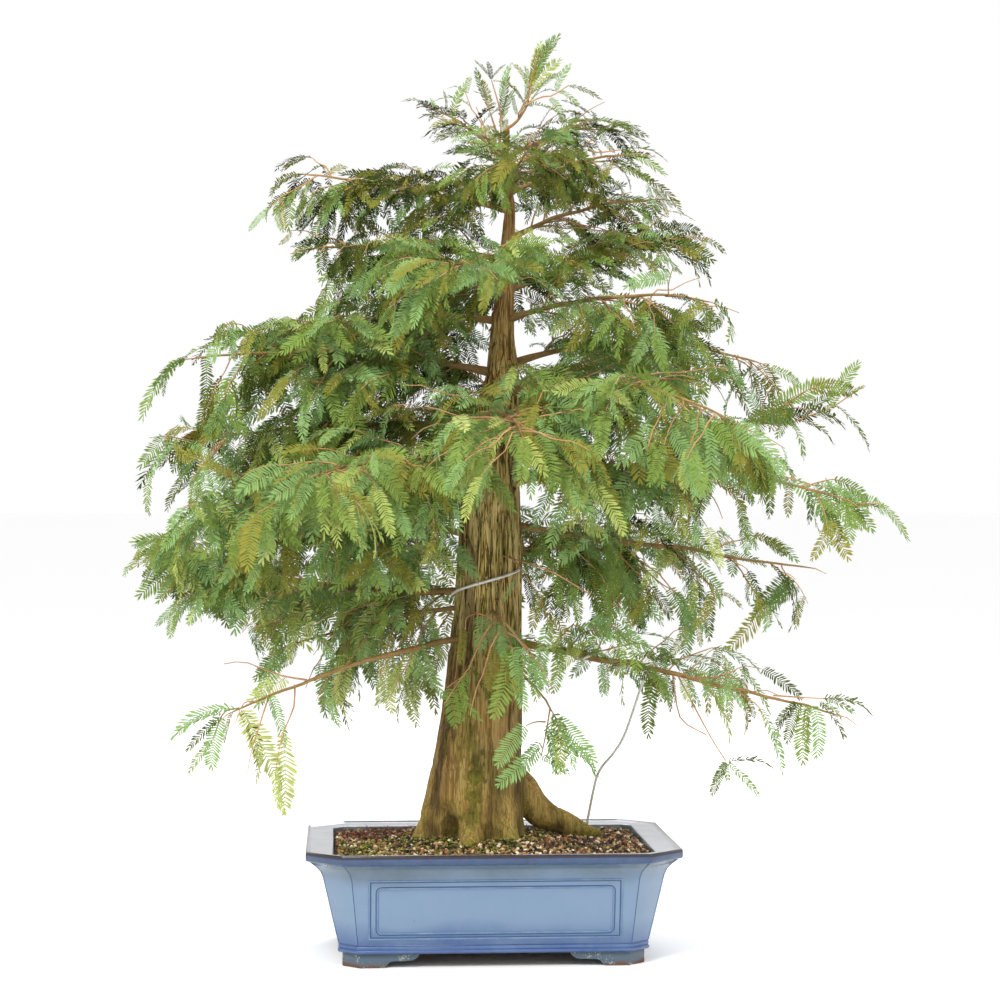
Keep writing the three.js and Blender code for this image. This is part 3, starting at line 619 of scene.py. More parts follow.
def lofted(name: str, rings: Sequence[Sequence[Vector]]) -> bpy.types.Object:
    """A closed solid, extruded ring by ring in edit mode.

    Args:
        name: The object's name.
        rings: Rings of as many points each, in millimetres, counter-clockwise from above.

    Returns:
        The object.
    """
    made = flat_face(name, rings[0])
    edit_all()
    for low, high in zip(rings, rings[1:]):
        bpy.ops.mesh.extrude_region_move()
        edit = bmesh.from_edit_mesh(made.data)
        for vertex in [v for v in edit.verts if v.select]:
            near = min(range(len(low)), key=lambda k: (low[k] * MM - vertex.co).length_squared)
            vertex.co = high[near] * MM
        bmesh.update_edit_mesh(made.data)
    close_solid()
    return made


def tube(
    name: str, points: Sequence[Vector], radii: Sequence[float], sides: int = 8, closed: bool = False
) -> bpy.types.Object:
    """A tube along points, its ends closed, made from a bevelled curve.

    Args:
        name: The object's name.
        points: Places along the tube in millimetres.
        radii: The radius at each place in millimetres.
        sides: Faces round the tube.
        closed: Whether the tube runs in a ring.

    Returns:
        The tube as a mesh object.
    """
    deselect()
    curve = bpy.data.curves.new(name, "CURVE")
    curve.dimensions = "3D"
    curve.bevel_depth = MM
    curve.bevel_resolution = max(0, sides // 2 - 2)
    curve.use_fill_caps = not closed
    spline = curve.splines.new("POLY")
    spline.points.add(len(points) - 1)
    for item, point, radius in zip(spline.points, points, radii):
        item.co = (*(point * MM), 1.0)
        item.radius = radius
    spline.use_cyclic_u = closed
    made = bpy.data.objects.new(name, curve)
    bpy.context.collection.objects.link(made)
    activate(made)
    bpy.ops.object.convert(target="MESH")
    bpy.ops.object.shade_smooth()
    return bpy.context.object


def joined(name: str, parts: Sequence[bpy.types.Object]) -> bpy.types.Object:
    """Joins objects into one under a new name."""
    activate(*parts)
    bpy.ops.object.join()
    made = bpy.context.object
    made.name = made.data.name = name
    return made


def modified(piece: bpy.types.Object, kind: str, **settings: object) -> None:
    """Adds a modifier to a piece and applies it."""
    activate(piece)
    modifier = piece.modifiers.new(kind.lower(), kind)
    for name, value in settings.items():
        setattr(modifier, name, value)
    bpy.ops.object.modifier_apply(modifier=modifier.name)


def bevelled(piece: bpy.types.Object, width: float, sharpest: float) -> None:
    """Rounds a piece's edges by a width in millimetres where they turn more than some degrees."""
    modified(piece, "BEVEL", width=width * MM, segments=2, limit_method="ANGLE",
             angle_limit=math.radians(sharpest))


def smoothed(piece: bpy.types.Object, sharpest: float) -> None:
    """Shades a piece smooth but for edges that turn more than some degrees."""
    activate(piece)
    bpy.ops.object.shade_smooth_by_angle(angle=math.radians(sharpest))


def array_piece(name: str, points: np.ndarray, faces: np.ndarray) -> bpy.types.Object:
    """A mesh object from arrays.

    Args:
        name: The object's name.
        points: Places in millimetres, one row each.
        faces: Triangles as rows of three point numbers.

    Returns:
        The object.
    """
    mesh = bpy.data.meshes.new(name)
    mesh.vertices.add(len(points))
    mesh.vertices.foreach_set("co", (points * MM).astype(np.float32).ravel())
    mesh.loops.add(faces.size)
    mesh.loops.foreach_set("vertex_index", faces.astype(np.int32).ravel())
    mesh.polygons.add(len(faces))
    mesh.polygons.foreach_set("loop_start", np.arange(0, faces.size, 3, dtype=np.int32))
    mesh.update(calc_edges=True)
    mesh.validate()
    made = bpy.data.objects.new(name, mesh)
    bpy.context.collection.objects.link(made)
    return made


def hand_over(
    piece: bpy.types.Object, slot: Slot, nodes: Iterable[str], *materials: bpy.types.Material
) -> None:
    """Finishes a piece: its materials and the nodes it stands for."""
    for material in materials:
        piece.data.materials.append(material)
    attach(piece, "root")
    names = list(nodes)
    if names:
        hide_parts(*names)
    log.info("%s: %d faces", piece.name, len(piece.data.polygons))


class Curve:
    """A smooth path that is measured by its own length."""

    STEPS = 200

    def __init__(self, rule: Callable[[np.ndarray], np.ndarray]) -> None:
        """Takes a rule from shares of 0 to 1 to points, one row each."""
        self.points = rule(np.linspace(0.0, 1.0, self.STEPS + 1))
        pieces = np.linalg.norm(np.diff(self.points, axis=0), axis=1)
        self.run = np.concatenate([[0.0], np.cumsum(pieces)])

    @property
    def length(self) -> float:
        """The path's whole length in millimetres."""
        return float(self.run[-1])

    def at(self, share: float) -> Vector:
        """The point at a share of the length."""
        reach = share * self.length
        return Vector([float(np.interp(reach, self.run, self.points[:, k])) for k in range(3)])

    def heading(self, share: float) -> Vector:
        """The direction at a share of the length."""
        low, high = max(0.0, share - 0.005), min(1.0, share + 0.005)
        return (self.at(high) - self.at(low)).normalized()


def spline_curve(points: Sequence[Sequence[float]]) -> Curve:
    """A Catmull-Rom curve through points."""
    places = [Vector(point) for point in points]
    ends = [places[0] * 2 - places[1], *places, places[-1] * 2 - places[-2]]

    def rule(shares: np.ndarray) -> np.ndarray:
        rows = []
        for share in shares * (len(places) - 1):
            k = min(int(share), len(places) - 2)
            t = share - k
            a, b, c, d = ends[k : k + 4]
            rows.append(
                (b * 2 + (c - a) * t + (a * 2 - b * 5 + c * 4 - d) * t**2
                 + (b * 3 - a - c * 3 + d) * t**3) / 2
            )
        return np.array(rows)

    return Curve(rule)


@dataclass(frozen=True)
class TrunkSection:
    """A level of the trunk: its height, its middle and its radius."""

    z: float
    x: float
    y: float
    r: float

    def angle(self, point: Vector) -> float:
        """The direction of a place from the middle, in radians about +Z from +X."""
        return math.atan2(point.y - self.y, point.x - self.x)

    def around(self, angle: float, radius: float, z: float) -> Vector:
        """The place at an angle and a distance from the middle, at a height."""
        return Vector((self.x + radius * math.cos(angle), self.y + radius * math.sin(angle), z))


@dataclass(frozen=True)
class Grain:
    """A layer of noise that is stretched along the trunk."""

    across: float  # width of its grains
    along: float
    shift: tuple[float, float, float] = (0.0, 0.0, 0.0)  # where in the noise it begins

    def at(self, point: Vector) -> float:
        """Its value at a place, from -1 to 1."""
        place = Vector((point.x / self.across, point.y / self.across, point.z / self.along))
        return noise.noise(place + Vector(self.shift))


@dataclass(frozen=True)
class Relief:
    """The bark's relief in millimetres: ridges, furrows, mossy grooves and gnarls."""

    flute: Grain = Grain(26, 260)
    strip: Grain = Grain(8, 130, (7, 0, 0))
    crack: Grain = Grain(12, 90, (0, 9, 3))
    gnarl: Grain = Grain(19, 19, (4, 4, 4))
    fine: Grain = Grain(3.4, 44)
    lump: Grain = Grain(5.5, 5.5)
    flute_height: float = 2.2
    low_flute_height: float = 1.2  # what the flutes gain at the foot
    strip_height: float = 1.8
    furrow_depth: float = 2.2
    furrow_edge: float = 0.12
    fine_height: float = 0.8
    gnarl_height: float = 1.5
    calm: float = 0.6  # share of the roughness that the foot goes without
    calm_height: tuple[float, float] = (170.0, 300.0)
    groove_depth: float = 1.6
    groove_lump: float = 2.4
    groove_foot: float = 135.0
    full_girth: tuple[float, float] = (4.0, 40.0)  # radii with no relief and with all of it

    def at(self, point: Vector, radius: float, moss: float) -> float:
        """How far the bark stands out.

        Args:
            point: A place on the trunk.
            radius: The trunk's radius there.
            moss: How thick the moss is there.

        Returns:
            Millimetres outwards.
        """
        girth = smooth(*self.full_girth, radius)
        low = 1.0 - smooth(*self.calm_height, point.z)
        furrow = 1.0 - smooth(0.0, self.furrow_edge, abs(self.crack.at(point)))
        rough = (
            self.strip_height * self.strip.at(point) - self.furrow_depth * furrow
            + self.fine_height * self.fine.at(point)
        )
        deep = self.groove_depth + self.groove_lump * self.lump.at(point)
        groove = moss * deep if point.z > self.groove_foot else 0.0
        flutes = self.flute.at(point) * (self.flute_height + self.low_flute_height * low)
        gnarls = self.gnarl.at(point) * self.gnarl_height * low
        return girth * (rough * (1.0 - self.calm * low) + flutes + gnarls - groove)


@dataclass
class Trunk:
    """The trunk with its root flare, its surface root and its bark relief."""

    ground: float = 115.5
    sections: tuple[TrunkSection, ...] = (
        TrunkSection(z=115.8, x=-14, y=10, r=57),
        TrunkSection(z=164, x=-14, y=8, r=51.7),
        TrunkSection(z=259, x=-7, y=3, r=44),
        TrunkSection(z=351, x=-1.5, y=0, r=38),
        TrunkSection(z=458, x=1, y=0, r=35),
        TrunkSection(z=520, x=1.5, y=0, r=32.5),
        TrunkSection(z=582, x=7, y=0, r=27),
        TrunkSection(z=629, x=16, y=1, r=18.7),
        TrunkSection(z=674, x=15, y=2, r=13.5),
        TrunkSection(z=756, x=20, y=2, r=8.8),
        TrunkSection(z=818, x=24, y=0, r=6),
        TrunkSection(z=853, x=17, y=0, r=4.6),
        TrunkSection(z=903, x=20, y=0, r=3.8),
    )
    foot_depth: float = 8.0  # how far the foot reaches into the grit
    sides: int = 80
    levels: int = 60
    grain: float = 2.3  # size of the faces that carry the relief
    evening: int = 4  # rounds of smoothing before the relief
    bark: Relief = Relief()
    flare_fade: float = 26.0
    flare_edge: float = 8.0
    flares: tuple[tuple[float, float], ...] = ((182, 16), (-98, 13), (-48, 15), (78, 16), (128, 13))
    root_path: tuple[tuple[float, float, float], ...] = (
        (2, 12, 206), (34, 20, 173), (58, 28, 149), (84, 36, 133), (108, 42, 121), (134, 48, 106),
    )
    root_radius: float = 23.0
    root_toe_radius: float = 9.0
    root_steps: int = 14
    dents: tuple[tuple[float, float, float, float], ...] = (  # turn, depth, narrowness, top
        (-127, 32, 30, 176), (-99, -15, 80, 168), (-80, 14, 140, 166), (-30, 7, 40, 160),
        (150, 12, 26, 165), (20, 8, 30, 165), (60, 9, 60, 170),
    )
    dent_foot: float = 119.5
    mossy: tuple[tuple[float, float, float, float], ...] = (  # turn, half width, lowest, highest
        (-97, 15, 146, 258), (-127, 22, 100, 168), (-80, 6, 100, 165), (-152, 5, 200, 300),
        (100, 16, 110, 220), (30, 12, 110, 190),
    )
    moss_collar: tuple[float, float] = (117.0, 130.0)  # the moss all round the foot thins out here
    moss_ends: tuple[float, float] = (15.0, 60.0)  # over how much height a mossy strip ends
    moss_patch: float = 11.0  # size of the patches that its edges are ragged by
    moss_tuft: float = 4.0
    moss_rag: float = 0.9
    shade_relief_span: float = 7.0  # the relief in millimetres that spans the mark for painted shade in sunken bark
    dent_shade: tuple[float, float] = (6.0, 18.0)  # where painted shade begins in a hollow between the root flares, and how slowly it deepens

    def at(self, z: float) -> TrunkSection:
        """The trunk's section at a height, which past the ends is like the nearest."""
        levels = [section.z for section in self.sections]
        mix = {
            key: float(np.interp(z, levels, [getattr(s, key) for s in self.sections]))
            for key in ("x", "y", "r")
        }
        return TrunkSection(z=z, **mix)

    def flare(self, angle: float, z: float) -> float:
        """How far the root flare stands out at an angle and height."""
        fade = math.exp((self.ground - z) / self.flare_fade)
        ridges = sum(
            reach * max(0.0, math.cos(angle - math.radians(turn))) ** self.flare_edge
            for turn, reach in self.flares
        )
        return fade * ridges - self.dent(angle, z)

    def dent(self, angle: float, z: float) -> float:
        """How deep the hollows between the root flares are at an angle and height."""
        return sum(
            depth * max(0.0, math.cos(angle - math.radians(turn))) ** narrow
            * (1.0 - smooth(self.dent_foot, top, z))
            for turn, depth, narrow, top in self.dents
        )

    def ring(self, z: float) -> list[Vector]:
        """Points round the trunk at a height."""
        section = self.at(max(z, self.sections[0].z))
        angles = [math.tau * k / self.sides for k in range(self.sides)]
        return [section.around(a, section.r + self.flare(a, section.z), z) for a in angles]

    def root_points(self) -> tuple[list[Vector], list[float]]:
        """Places and radii along the surface root."""
        path = spline_curve(self.root_path)
        shares = [k / self.root_steps for k in range(self.root_steps + 1)]
        radii = [self.root_radius + (self.root_toe_radius - self.root_radius) * s for s in shares]
        return [path.at(share) for share in shares], radii

    def moss(self, point: Vector) -> float:
        """How thick the moss is at a place, from 0 to 1."""
        angle = math.degrees(self.at(point.z).angle(point))
        ragged = noise.noise(point / self.moss_patch) + 0.6 * noise.noise(point / self.moss_tuft)
        low, high = self.moss_collar
        thick = 1.2 * (1.0 - smooth(low, high + 14 * ragged, point.z))
        fade_in, fade_out = self.moss_ends
        for turn, width, lowest, highest in self.mossy:
            aside = abs((angle - turn + 180) % 360 - 180) / width
            inside = 1.0 - smooth(0.3, 1.0, aside + self.moss_rag * ragged)
            begun = smooth(lowest - fade_in, lowest, point.z)
            ends = begun * (1 - smooth(highest - fade_out, highest, point.z))
            thick = max(thick, inside * ends)
        return min(1.0, max(0.0, thick))

    def build(self) -> bpy.types.Object:
        """Models the trunk and its root in one skin and gives it its relief."""
        start = self.ground - self.foot_depth
        heights = [start, *np.linspace(self.sections[0].z, self.sections[-1].z, self.levels)]
        trunk = lofted("trunk_core", [self.ring(float(z)) for z in heights])
        points, radii = self.root_points()
        root = tube("root_core", points, radii, sides=16)
        body = joined("trunk_bark", [trunk, root])
        modified(body, "REMESH", mode="VOXEL", voxel_size=self.grain * MM, use_smooth_shade=True)
        modified(body, "SMOOTH", factor=0.5, iterations=self.evening)
        self.carve(body)
        return body

    def carve(self, body: bpy.types.Object) -> None:
        """Moves each vertex by the bark relief and keeps moss, and a relief mark that paints shade into
        sunken bark and hollows, as attributes.

        Args:
            body: The smooth trunk, in metres.
        """
        mesh = body.data
        shade_dent_start, shade_dent_span = self.dent_shade
        normals = [vertex.normal.copy() for vertex in mesh.vertices]
        marks: dict[str, list[float]] = {"relief": [], "moss": []}
        for vertex, normal in zip(mesh.vertices, normals):
            place = vertex.co / MM
            moss = self.moss(place)
            depth = self.bark.at(place, self.at(place.z).r, moss)
            vertex.co += normal * depth * MM
            place = vertex.co / MM
            dent = self.dent(self.at(place.z).angle(place), place.z)
            # painted shade mark: lower where the bark sinks and in the hollows between the root flares
            shade_mark = 0.5 + depth / self.shade_relief_span - max(0.0, dent - shade_dent_start) / shade_dent_span
            marks["relief"].append(min(1.0, max(0.0, shade_mark)))
            marks["moss"].append(moss)
        for name, values in marks.items():
            layer = mesh.attributes.new(name, "FLOAT", "POINT")
            layer.data.foreach_set("value", values)
        activate(body)
        bpy.ops.object.shade_smooth()


@dataclass(frozen=True)
class Limb:
    """A limb as the solids have it.

    Attributes:
        name: The limb's name in the nodes.
        height: Where it leaves the trunk's axis.
        turn: Degrees about +Z from +X.
        reach: From the trunk's axis to the stem's tip.
        rise: That tip's height over the start.
        bow: How far its middle arches over a straight line.
        spread: Its longest side twigs.
        bare: Share of the reach that is bare bough in the solids.
        leafy: Share of the reach from which twigs stand on it.
        full: Share of its sprays that are there.
        fresh: How much younger its tints are than at that height.
        lift: How much its twigs rise over the range of the others.
    """

    name: str
    height: float
    turn: float
    reach: float
    rise: float
    bow: float
    spread: float
    bare: float
    leafy: float = 0.1
    full: float = 1.0
    fresh: float = 0.0
    lift: float = 0.0

    GIRTH_LEAST = 1.5
    GIRTH_SHARE = 0.0095
    TIP_RADIUS = 1.0
    WEEP_LOSS = 1.2

    @property
    def girth(self) -> float:
        """Radius at the trunk."""
        return self.GIRTH_LEAST + self.GIRTH_SHARE * self.reach

    @property
    def weep(self) -> float:
        """How strongly its sprays hang, 1 on a level limb."""
        return max(0.0, 1.0 - max(0.0, self.WEEP_LOSS * self.rise) / self.reach)

    def curve(self, trunk: Trunk) -> Curve:
        """Its path from the trunk's axis to its tip."""
        base = trunk.at(self.height)
        start = np.array([base.x, base.y, self.height])
        turn = math.radians(self.turn)
        whole = np.array([math.cos(turn), math.sin(turn), 0.0]) * self.reach
        whole = whole + np.array([0.0, 0.0, self.rise])
        arch = np.array([0.0, 0.0, self.bow * 4 / 3])
        a, b, c, d = start, start + whole / 3 + arch, start + whole * 2 / 3 + arch, start + whole

        def rule(shares: np.ndarray) -> np.ndarray:
            t = shares[:, None]
            return (1 - t)**3 * a + 3 * (1 - t)**2 * t * b + 3 * (1 - t) * t**2 * c + t**3 * d

        return Curve(rule)


LIMBS = (
    Limb("right_low", 343, -20, 383, -76, 4, 80, 0.5, 0.08, 0.6, 0.02, 0.4),
    Limb("right_second", 470, -3, 345, -50, 0, 95, 0.34, 0.12, 0.62, -0.06),
    Limb("right_long", 506, -31, 402, -9, 28, 90, 0.45, 0.2, 0.6, -0.07),
    Limb("right_lifted", 530, -12, 335, 75, -38, 65, 0.45, 0.2, 0.6, -0.1),
    Limb("right_middle", 640, 10, 292, 10, 25, 100, 0.28, 0.12, 0.62, 0.01),
    Limb("right_fore", 608, -52, 335, -30, 25, 100, 0.3, 0.12, 0.68, 0.08),
    Limb("right_inner", 690, -34, 240, 14, 15, 85, 0, 0.1, 0.58, 0.05),
    Limb("right_high", 722, -2, 180, 58, 5, 80, 0, 0.1, 0.72, 0.04),
    Limb("right_upper", 780, 16, 171, 51, 10, 70, 0, 0.1, 0.6, 0.02),
    Limb("right_top", 830, -21, 136, 38, 8, 60, 0, 0.1, 0.62, -0.05),
    Limb("right_crown", 868, 25, 113, 41, 8, 50, 0, 0.1, 0.7, -0.05),
    Limb("left_pendant", 345, -152, 303, -69, 12, 70, 0.62, 0.64, 0.4, 0.2),
    Limb("left_low", 378, -178, 215, -43, 8, 80, 0.35, 0.05, 0.72, 0.12, -0.6),
    Limb("left_long", 396, 167, 340, 42, -20, 95, 0.4, 0.1, 0.92, 0.08, -0.15),
    Limb("left_second", 450, -167, 315, 38, 10, 100, 0.32, 0.1, 1, 0),
    Limb("left_middle", 569, 173, 322, -9, 12, 100, 0.3, 0.12, 0.84, 0),
    Limb("left_arched", 631, -177, 332, 17, 15, 95, 0.3, 0.12, 0.85, 0.02),
    Limb("left_inner", 690, 158, 253, -9, 12, 85, 0, 0.1, 0.9, 0.05),
    Limb("left_high", 757, -169, 216, 8, 8, 80, 0, 0.1, 0.85, -0.05),
    Limb("left_upper", 812, 171, 222, 42, 5, 70, 0, 0.1, 0.95, -0.08),
    Limb("left_top", 868, 171, 68, 52, 5, 50, 0, 0.1, 0.7, -0.08),
    Limb("front_shoot", 335, -60, 122, -62, 10, 45, 0, 0.45, 0.1, 0.12, -0.2),
    Limb("front_low", 372, -84, 142, -28, 12, 64, 0, 0.32, 0.1, -0.05, -0.3),
    Limb("front_left", 520, -128, 300, 0, 15, 100, 0.3, 0.12, 0.92, 0.05),
    Limb("front_right", 575, -88, 270, -15, 15, 100, 0.28, 0.12, 0.8, 0.05),
    Limb("front_high", 715, -108, 200, 20, 10, 80, 0, 0.1, 0.88, 0.05),
    Limb("front_top", 825, -85, 115, 35, 8, 55, 0, 0.1, 1, -0.05),
    Limb("back_right", 430, 50, 305, -10, 15, 105, 0.3, 0.12, 0.6, -0.04),
    Limb("back_left", 490, 125, 290, 10, 15, 105, 0.3, 0.12, 0.8, -0.05),
    Limb("back_middle", 600, 85, 265, 0, 15, 105, 0.28, 0.12, 0.85, -0.1),
    Limb("back_high", 725, 100, 195, 20, 10, 85, 0, 0.1, 0.8, -0.04),
    Limb("back_top", 835, 82, 120, 40, 8, 55, 0, 0.1, 0.8, -0.04),
    Limb("tip_left", 872, 150, 16, 42, 0, 30, 0, 0.1, 0.4, 0.05),
    Limb("tip_right", 903, -20, 24, 34, -8, 34, 0, 0.1, 0.4, 0.2),
)


@dataclass(frozen=True)
class LooseSprays:
    """The sprays and twigs that show singly, as they lie on the trunk's plane from in front.

    Attributes:
        sprays: By tint, each with the root's X and Z, the tip's X and Z, Y, the turn of its face
            to the viewer in degrees, how slim it is and its shape.
        twigs: Places along each twig as X, Z and Y.
    """

    sprays: tuple[tuple[Tint, tuple[tuple[float, ...], ...]], ...] = (
        (Tint.DEEP, (
            (341, 269, 316, 220, -120, 30, 0.6, 0), (39, 414, 47, 370, -78, 70, 0.8, 0),
            (79, 934, 115, 915, -14, 30, 0.5, 0), (3, 956, -2, 976, 0, 60, 1.0, 3),
            (118, 893, 151, 907, -20, 30, 0.45, 0), (144, 865, 175, 846, -46, 30, 0.4, 0),
        )),
        (Tint.SHADE, (
            (343, 270, 319, 243, -120, 70, 0.9, 3), (346, 269, 329, 222, -122, 60, 0.9, 0),
            (371, 273, 432, 247, -128, 25, 0.75, 2), (367, 270, 401, 221, -124, 35, 0.6, 3),
            (278, 283, 297, 252, -95, 65, 0.8, 1), (206, 299, 202, 258, -71, 40, 0.6, 3),
            (263, 204, 245, 166, -92, 75, 0.9, 0), (264, 203, 321, 192, -92, 30, 0.55, 2),
            (-294, 256, -331, 217, -142, 60, 0.6, 3), (-18, 307, 1, 262, -50, 40, 0.55, 0),
            (46, 401, 58, 359, -84, 75, 0.8, 1), (44, 408, 67, 388, -80, 60, 0.7, 3),
            (88, 950, 125, 933, -16, 40, 0.75, 0), (40, 927, 20, 954, -6, 40, 0.5, 3),
            (3, 956, -16, 977, 0, 50, 0.5, 3), (3, 956, 20, 973, 0, 45, 0.5, 0),
            (5, 933, -17, 943, 0, 40, 0.4, 3), (-47, 916, -50, 944, -8, 50, 0.5, 0),
            (-66, 925, -96, 931, -8, 30, 0.5, 2), (115, 891, 167, 904, -20, 30, 0.6, 2),
            (145, 879, 199, 866, -48, 30, 0.5, 2), (140, 868, 173, 859, -46, 40, 0.5, 3),
            (347, 583, 385, 613, -76, 50, 0.9, 1), (386, 599, 425, 544, -84, 45, 0.5, 4),
            (362, 589, 387, 577, -80, 40, 0.6, 3), (343, 582, 385, 551, -76, 40, 0.6, 2),
            (332, 580, 290, 577, -74, 40, 0.7, 0), (405, 487, 440, 486, -196, 40, 0.5, 3),
            (308, 520, 313, 471, -170, 60, 0.8, 3), (355, 507, 357, 465, -180, 60, 0.7, 3),
            (-328, 650, -361, 628, -18, 40, 0.7, 0), (-311, 651, -309, 593, -18, 70, 0.85, 1),
            (-318, 532, -357, 482, 24, 50, 0.7, 4), (-309, 522, -344, 498, 24, 40, 0.6, 3),
        )),
        (Tint.OLIVE, (
            (356, 268, 355, 216, -124, 35, 0.7, 3), (239, 293, 244, 252, -83, 60, 0.65, 3),
            (269, 286, 268, 247, -92, 60, 0.7, 3), (-272, 265, -249, 202, -140, 50, 0.9, 1),
            (-280, 263, -289, 227, -142, 40, 0.6, 3), (7, 334, 6, 282, -62, 75, 1.15, 1),
            (-26, 351, -30, 312, -56, 60, 0.75, 3), (58, 395, 49, 346, -88, 60, 0.8, 3),
            (63, 370, 91, 318, -94, 50, 0.8, 2), (4, 955, 40, 929, 0, 35, 0.45, 2),
            (335, 514, 334, 473, -176, 60, 0.8, 3),
        )),
        (Tint.MID, (
            (352, 268, 341, 198, -124, 80, 1.0, 4), (367, 269, 394, 245, -127, 40, 0.8, 2),
            (374, 273, 411, 256, -128, 50, 0.7, 3), (255, 288, 256, 251, -88, 55, 0.8, 0),
            (183, 305, 187, 271, -63, 50, 0.7, 3), (126, 318, 128, 276, -44, 70, 0.8, 0),
            (222, 295, 228, 258, -77, 60, 0.6, 3), (264, 203, 301, 159, -92, 60, 0.65, 4),
            (261, 204, 267, 180, -92, 80, 0.9, 3), (-291, 260, -344, 233, -142, 25, 0.7, 1),
            (-302, 232, -328, 193, -140, 60, 0.6, 3), (-243, 280, -233, 252, -134, 60, 0.6, 3),
            (14, 357, 35, 284, -65, 60, 0.75, 4), (-46, 287, -33, 242, -62, 80, 1.15, 3),
            (74, 340, 75, 279, -94, 75, 0.9, 1), (71, 413, 80, 373, -88, 60, 0.8, 3),
            (92, 400, 101, 356, -92, 70, 0.9, 1), (77, 945, 103, 926, -14, 50, 0.8, 3),
            (67, 937, 86, 905, -12, 60, 1.0, 1), (-40, 911, -28, 953, -8, 65, 0.75, 3),
            (147, 879, 197, 849, -48, 50, 0.75, 0), (154, 871, 171, 850, -46, 50, 0.6, 3),
            (378, 597, 416, 647, -83, 55, 0.9, 0), (337, 580, 352, 536, -76, 45, 0.7, 3),
            (398, 608, 420, 621, -84, 40, 0.7, 3), (435, 490, 467, 445, -198, 50, 0.7, 0),
            (363, 505, 376, 433, -182, 60, 0.75, 4), (-332, 649, -386, 581, -18, 45, 0.7, 4),
            (-350, 639, -355, 606, -18, 50, 0.7, 3), (-367, 527, -368, 475, 34, 50, 0.8, 1),
            (-332, 560, -361, 549, 36, 30, 0.5, 3),
        )),
        (Tint.MINT, (
            (360, 267, 368, 206, -126, 70, 1.0, 1), (264, 204, 250, 179, -92, 70, 0.8, 3),
            (-275, 265, -349, 232, -142, 30, 0.7, 2), (-293, 258, -307, 198, -142, 75, 1.15, 0),
            (-238, 281, -226, 221, -134, 60, 0.7, 0), (41, 245, 5, 201, -108, 75, 1.25, 0),
            (57, 219, 12, 173, -106, 75, 1.1, 1), (62, 235, 122, 179, -106, 35, 0.8, 2),
            (58, 211, 92, 191, -106, 60, 0.8, 3), (58, 227, 28, 187, -106, 60, 0.9, 3),
            (63, 243, 74, 205, -106, 60, 0.8, 3), (-9, 367, -7, 324, -56, 80, 1.1, 3),
            (0, 364, 16, 313, -60, 70, 0.95, 0), (10, 360, 41, 322, -64, 60, 0.9, 0),
            (31, 406, 17, 381, -70, 45, 0.6, 3), (67, 359, 50, 288, -94, 75, 0.8, 4),
            (116, 385, 132, 335, -96, 70, 1.1, 1), (123, 313, 127, 275, -60, 70, 0.8, 3),
            (140, 378, 160, 340, -98, 60, 0.8, 3), (74, 945, 90, 976, -14, 60, 0.8, 3),
            (41, 934, 38, 972, -8, 60, 0.8, 1), (13, 936, 24, 976, 0, 60, 0.55, 3),
            (-57, 921, -65, 935, -8, 60, 0.8, 3), (367, 588, 389, 602, -80, 60, 0.9, 3),
            (-337, 562, -370, 518, 36, 45, 0.7, 0),
        )),
        (Tint.FRESH, (
            (67, 364, 74, 310, -94, 70, 1.0, 4), (107, 337, 71, 301, -92, 70, 0.9, 0),
            (48, 954, 63, 1000, -10, 70, 0.9, 4), (47, 945, 79, 982, -12, 60, 0.95, 3),
        )),
        (Tint.LIME, (
            (-270, 266, -240, 181, -142, 65, 1.2, 4),
        )),
    )
    twigs: tuple[tuple[tuple[float, float, float], ...], ...] = (
        ((316, 277, -112), (343, 275, -122), (374, 273, -128)),
        ((210, 299, -75), (220, 280, -80), (247, 230, -88), (263, 205, -92)),
        ((204, 300, -73), (208, 270, -80), (215, 249, -82), (241, 234, -84)),
        ((-273, 266, -142), (-290, 261, -142), (-302, 232, -140)),
        ((68, 265, -106), (63, 235, -106), (58, 211, -106)),
        ((63, 249, -106), (52, 249, -107), (41, 245, -108)),
        ((-17, 370, -40), (-3, 366, -58), (18, 354, -66)),
        ((-3, 366, -58), (4, 352, -62), (7, 334, -62)),
        ((-12, 369, -44), (-24, 364, -50), (-26, 351, -56)),
        ((-17, 307, -42), (-31, 298, -54), (-46, 287, -62)),
        ((23, 432, -36), (39, 414, -76), (58, 381, -90), (67, 359, -94)),
        ((16, 432, -34), (71, 414, -88), (117, 386, -96), (148, 375, -98), (159, 355, -98)),
        ((107, 337, -92), (101, 326, -80), (94, 315, -60)),
        ((74, 346, -94), (67, 359, -94)),
        ((39, 927, -7), (57, 937, -12), (70, 939, -14), (89, 951, -16)),
        ((16, 907, 0), (11, 929, 0), (3, 956, 0)),
        ((110, 881, -24), (121, 877, -40), (146, 880, -48)),
        ((105, 883, -10), (112, 889, -18), (120, 893, -20)),
        ((297, 580, -70), (327, 577, -74), (359, 588, -80), (386, 599, -84), (418, 621, -84)),
        ((403, 488, -194), (420, 489, -197), (436, 490, -198)),
    )


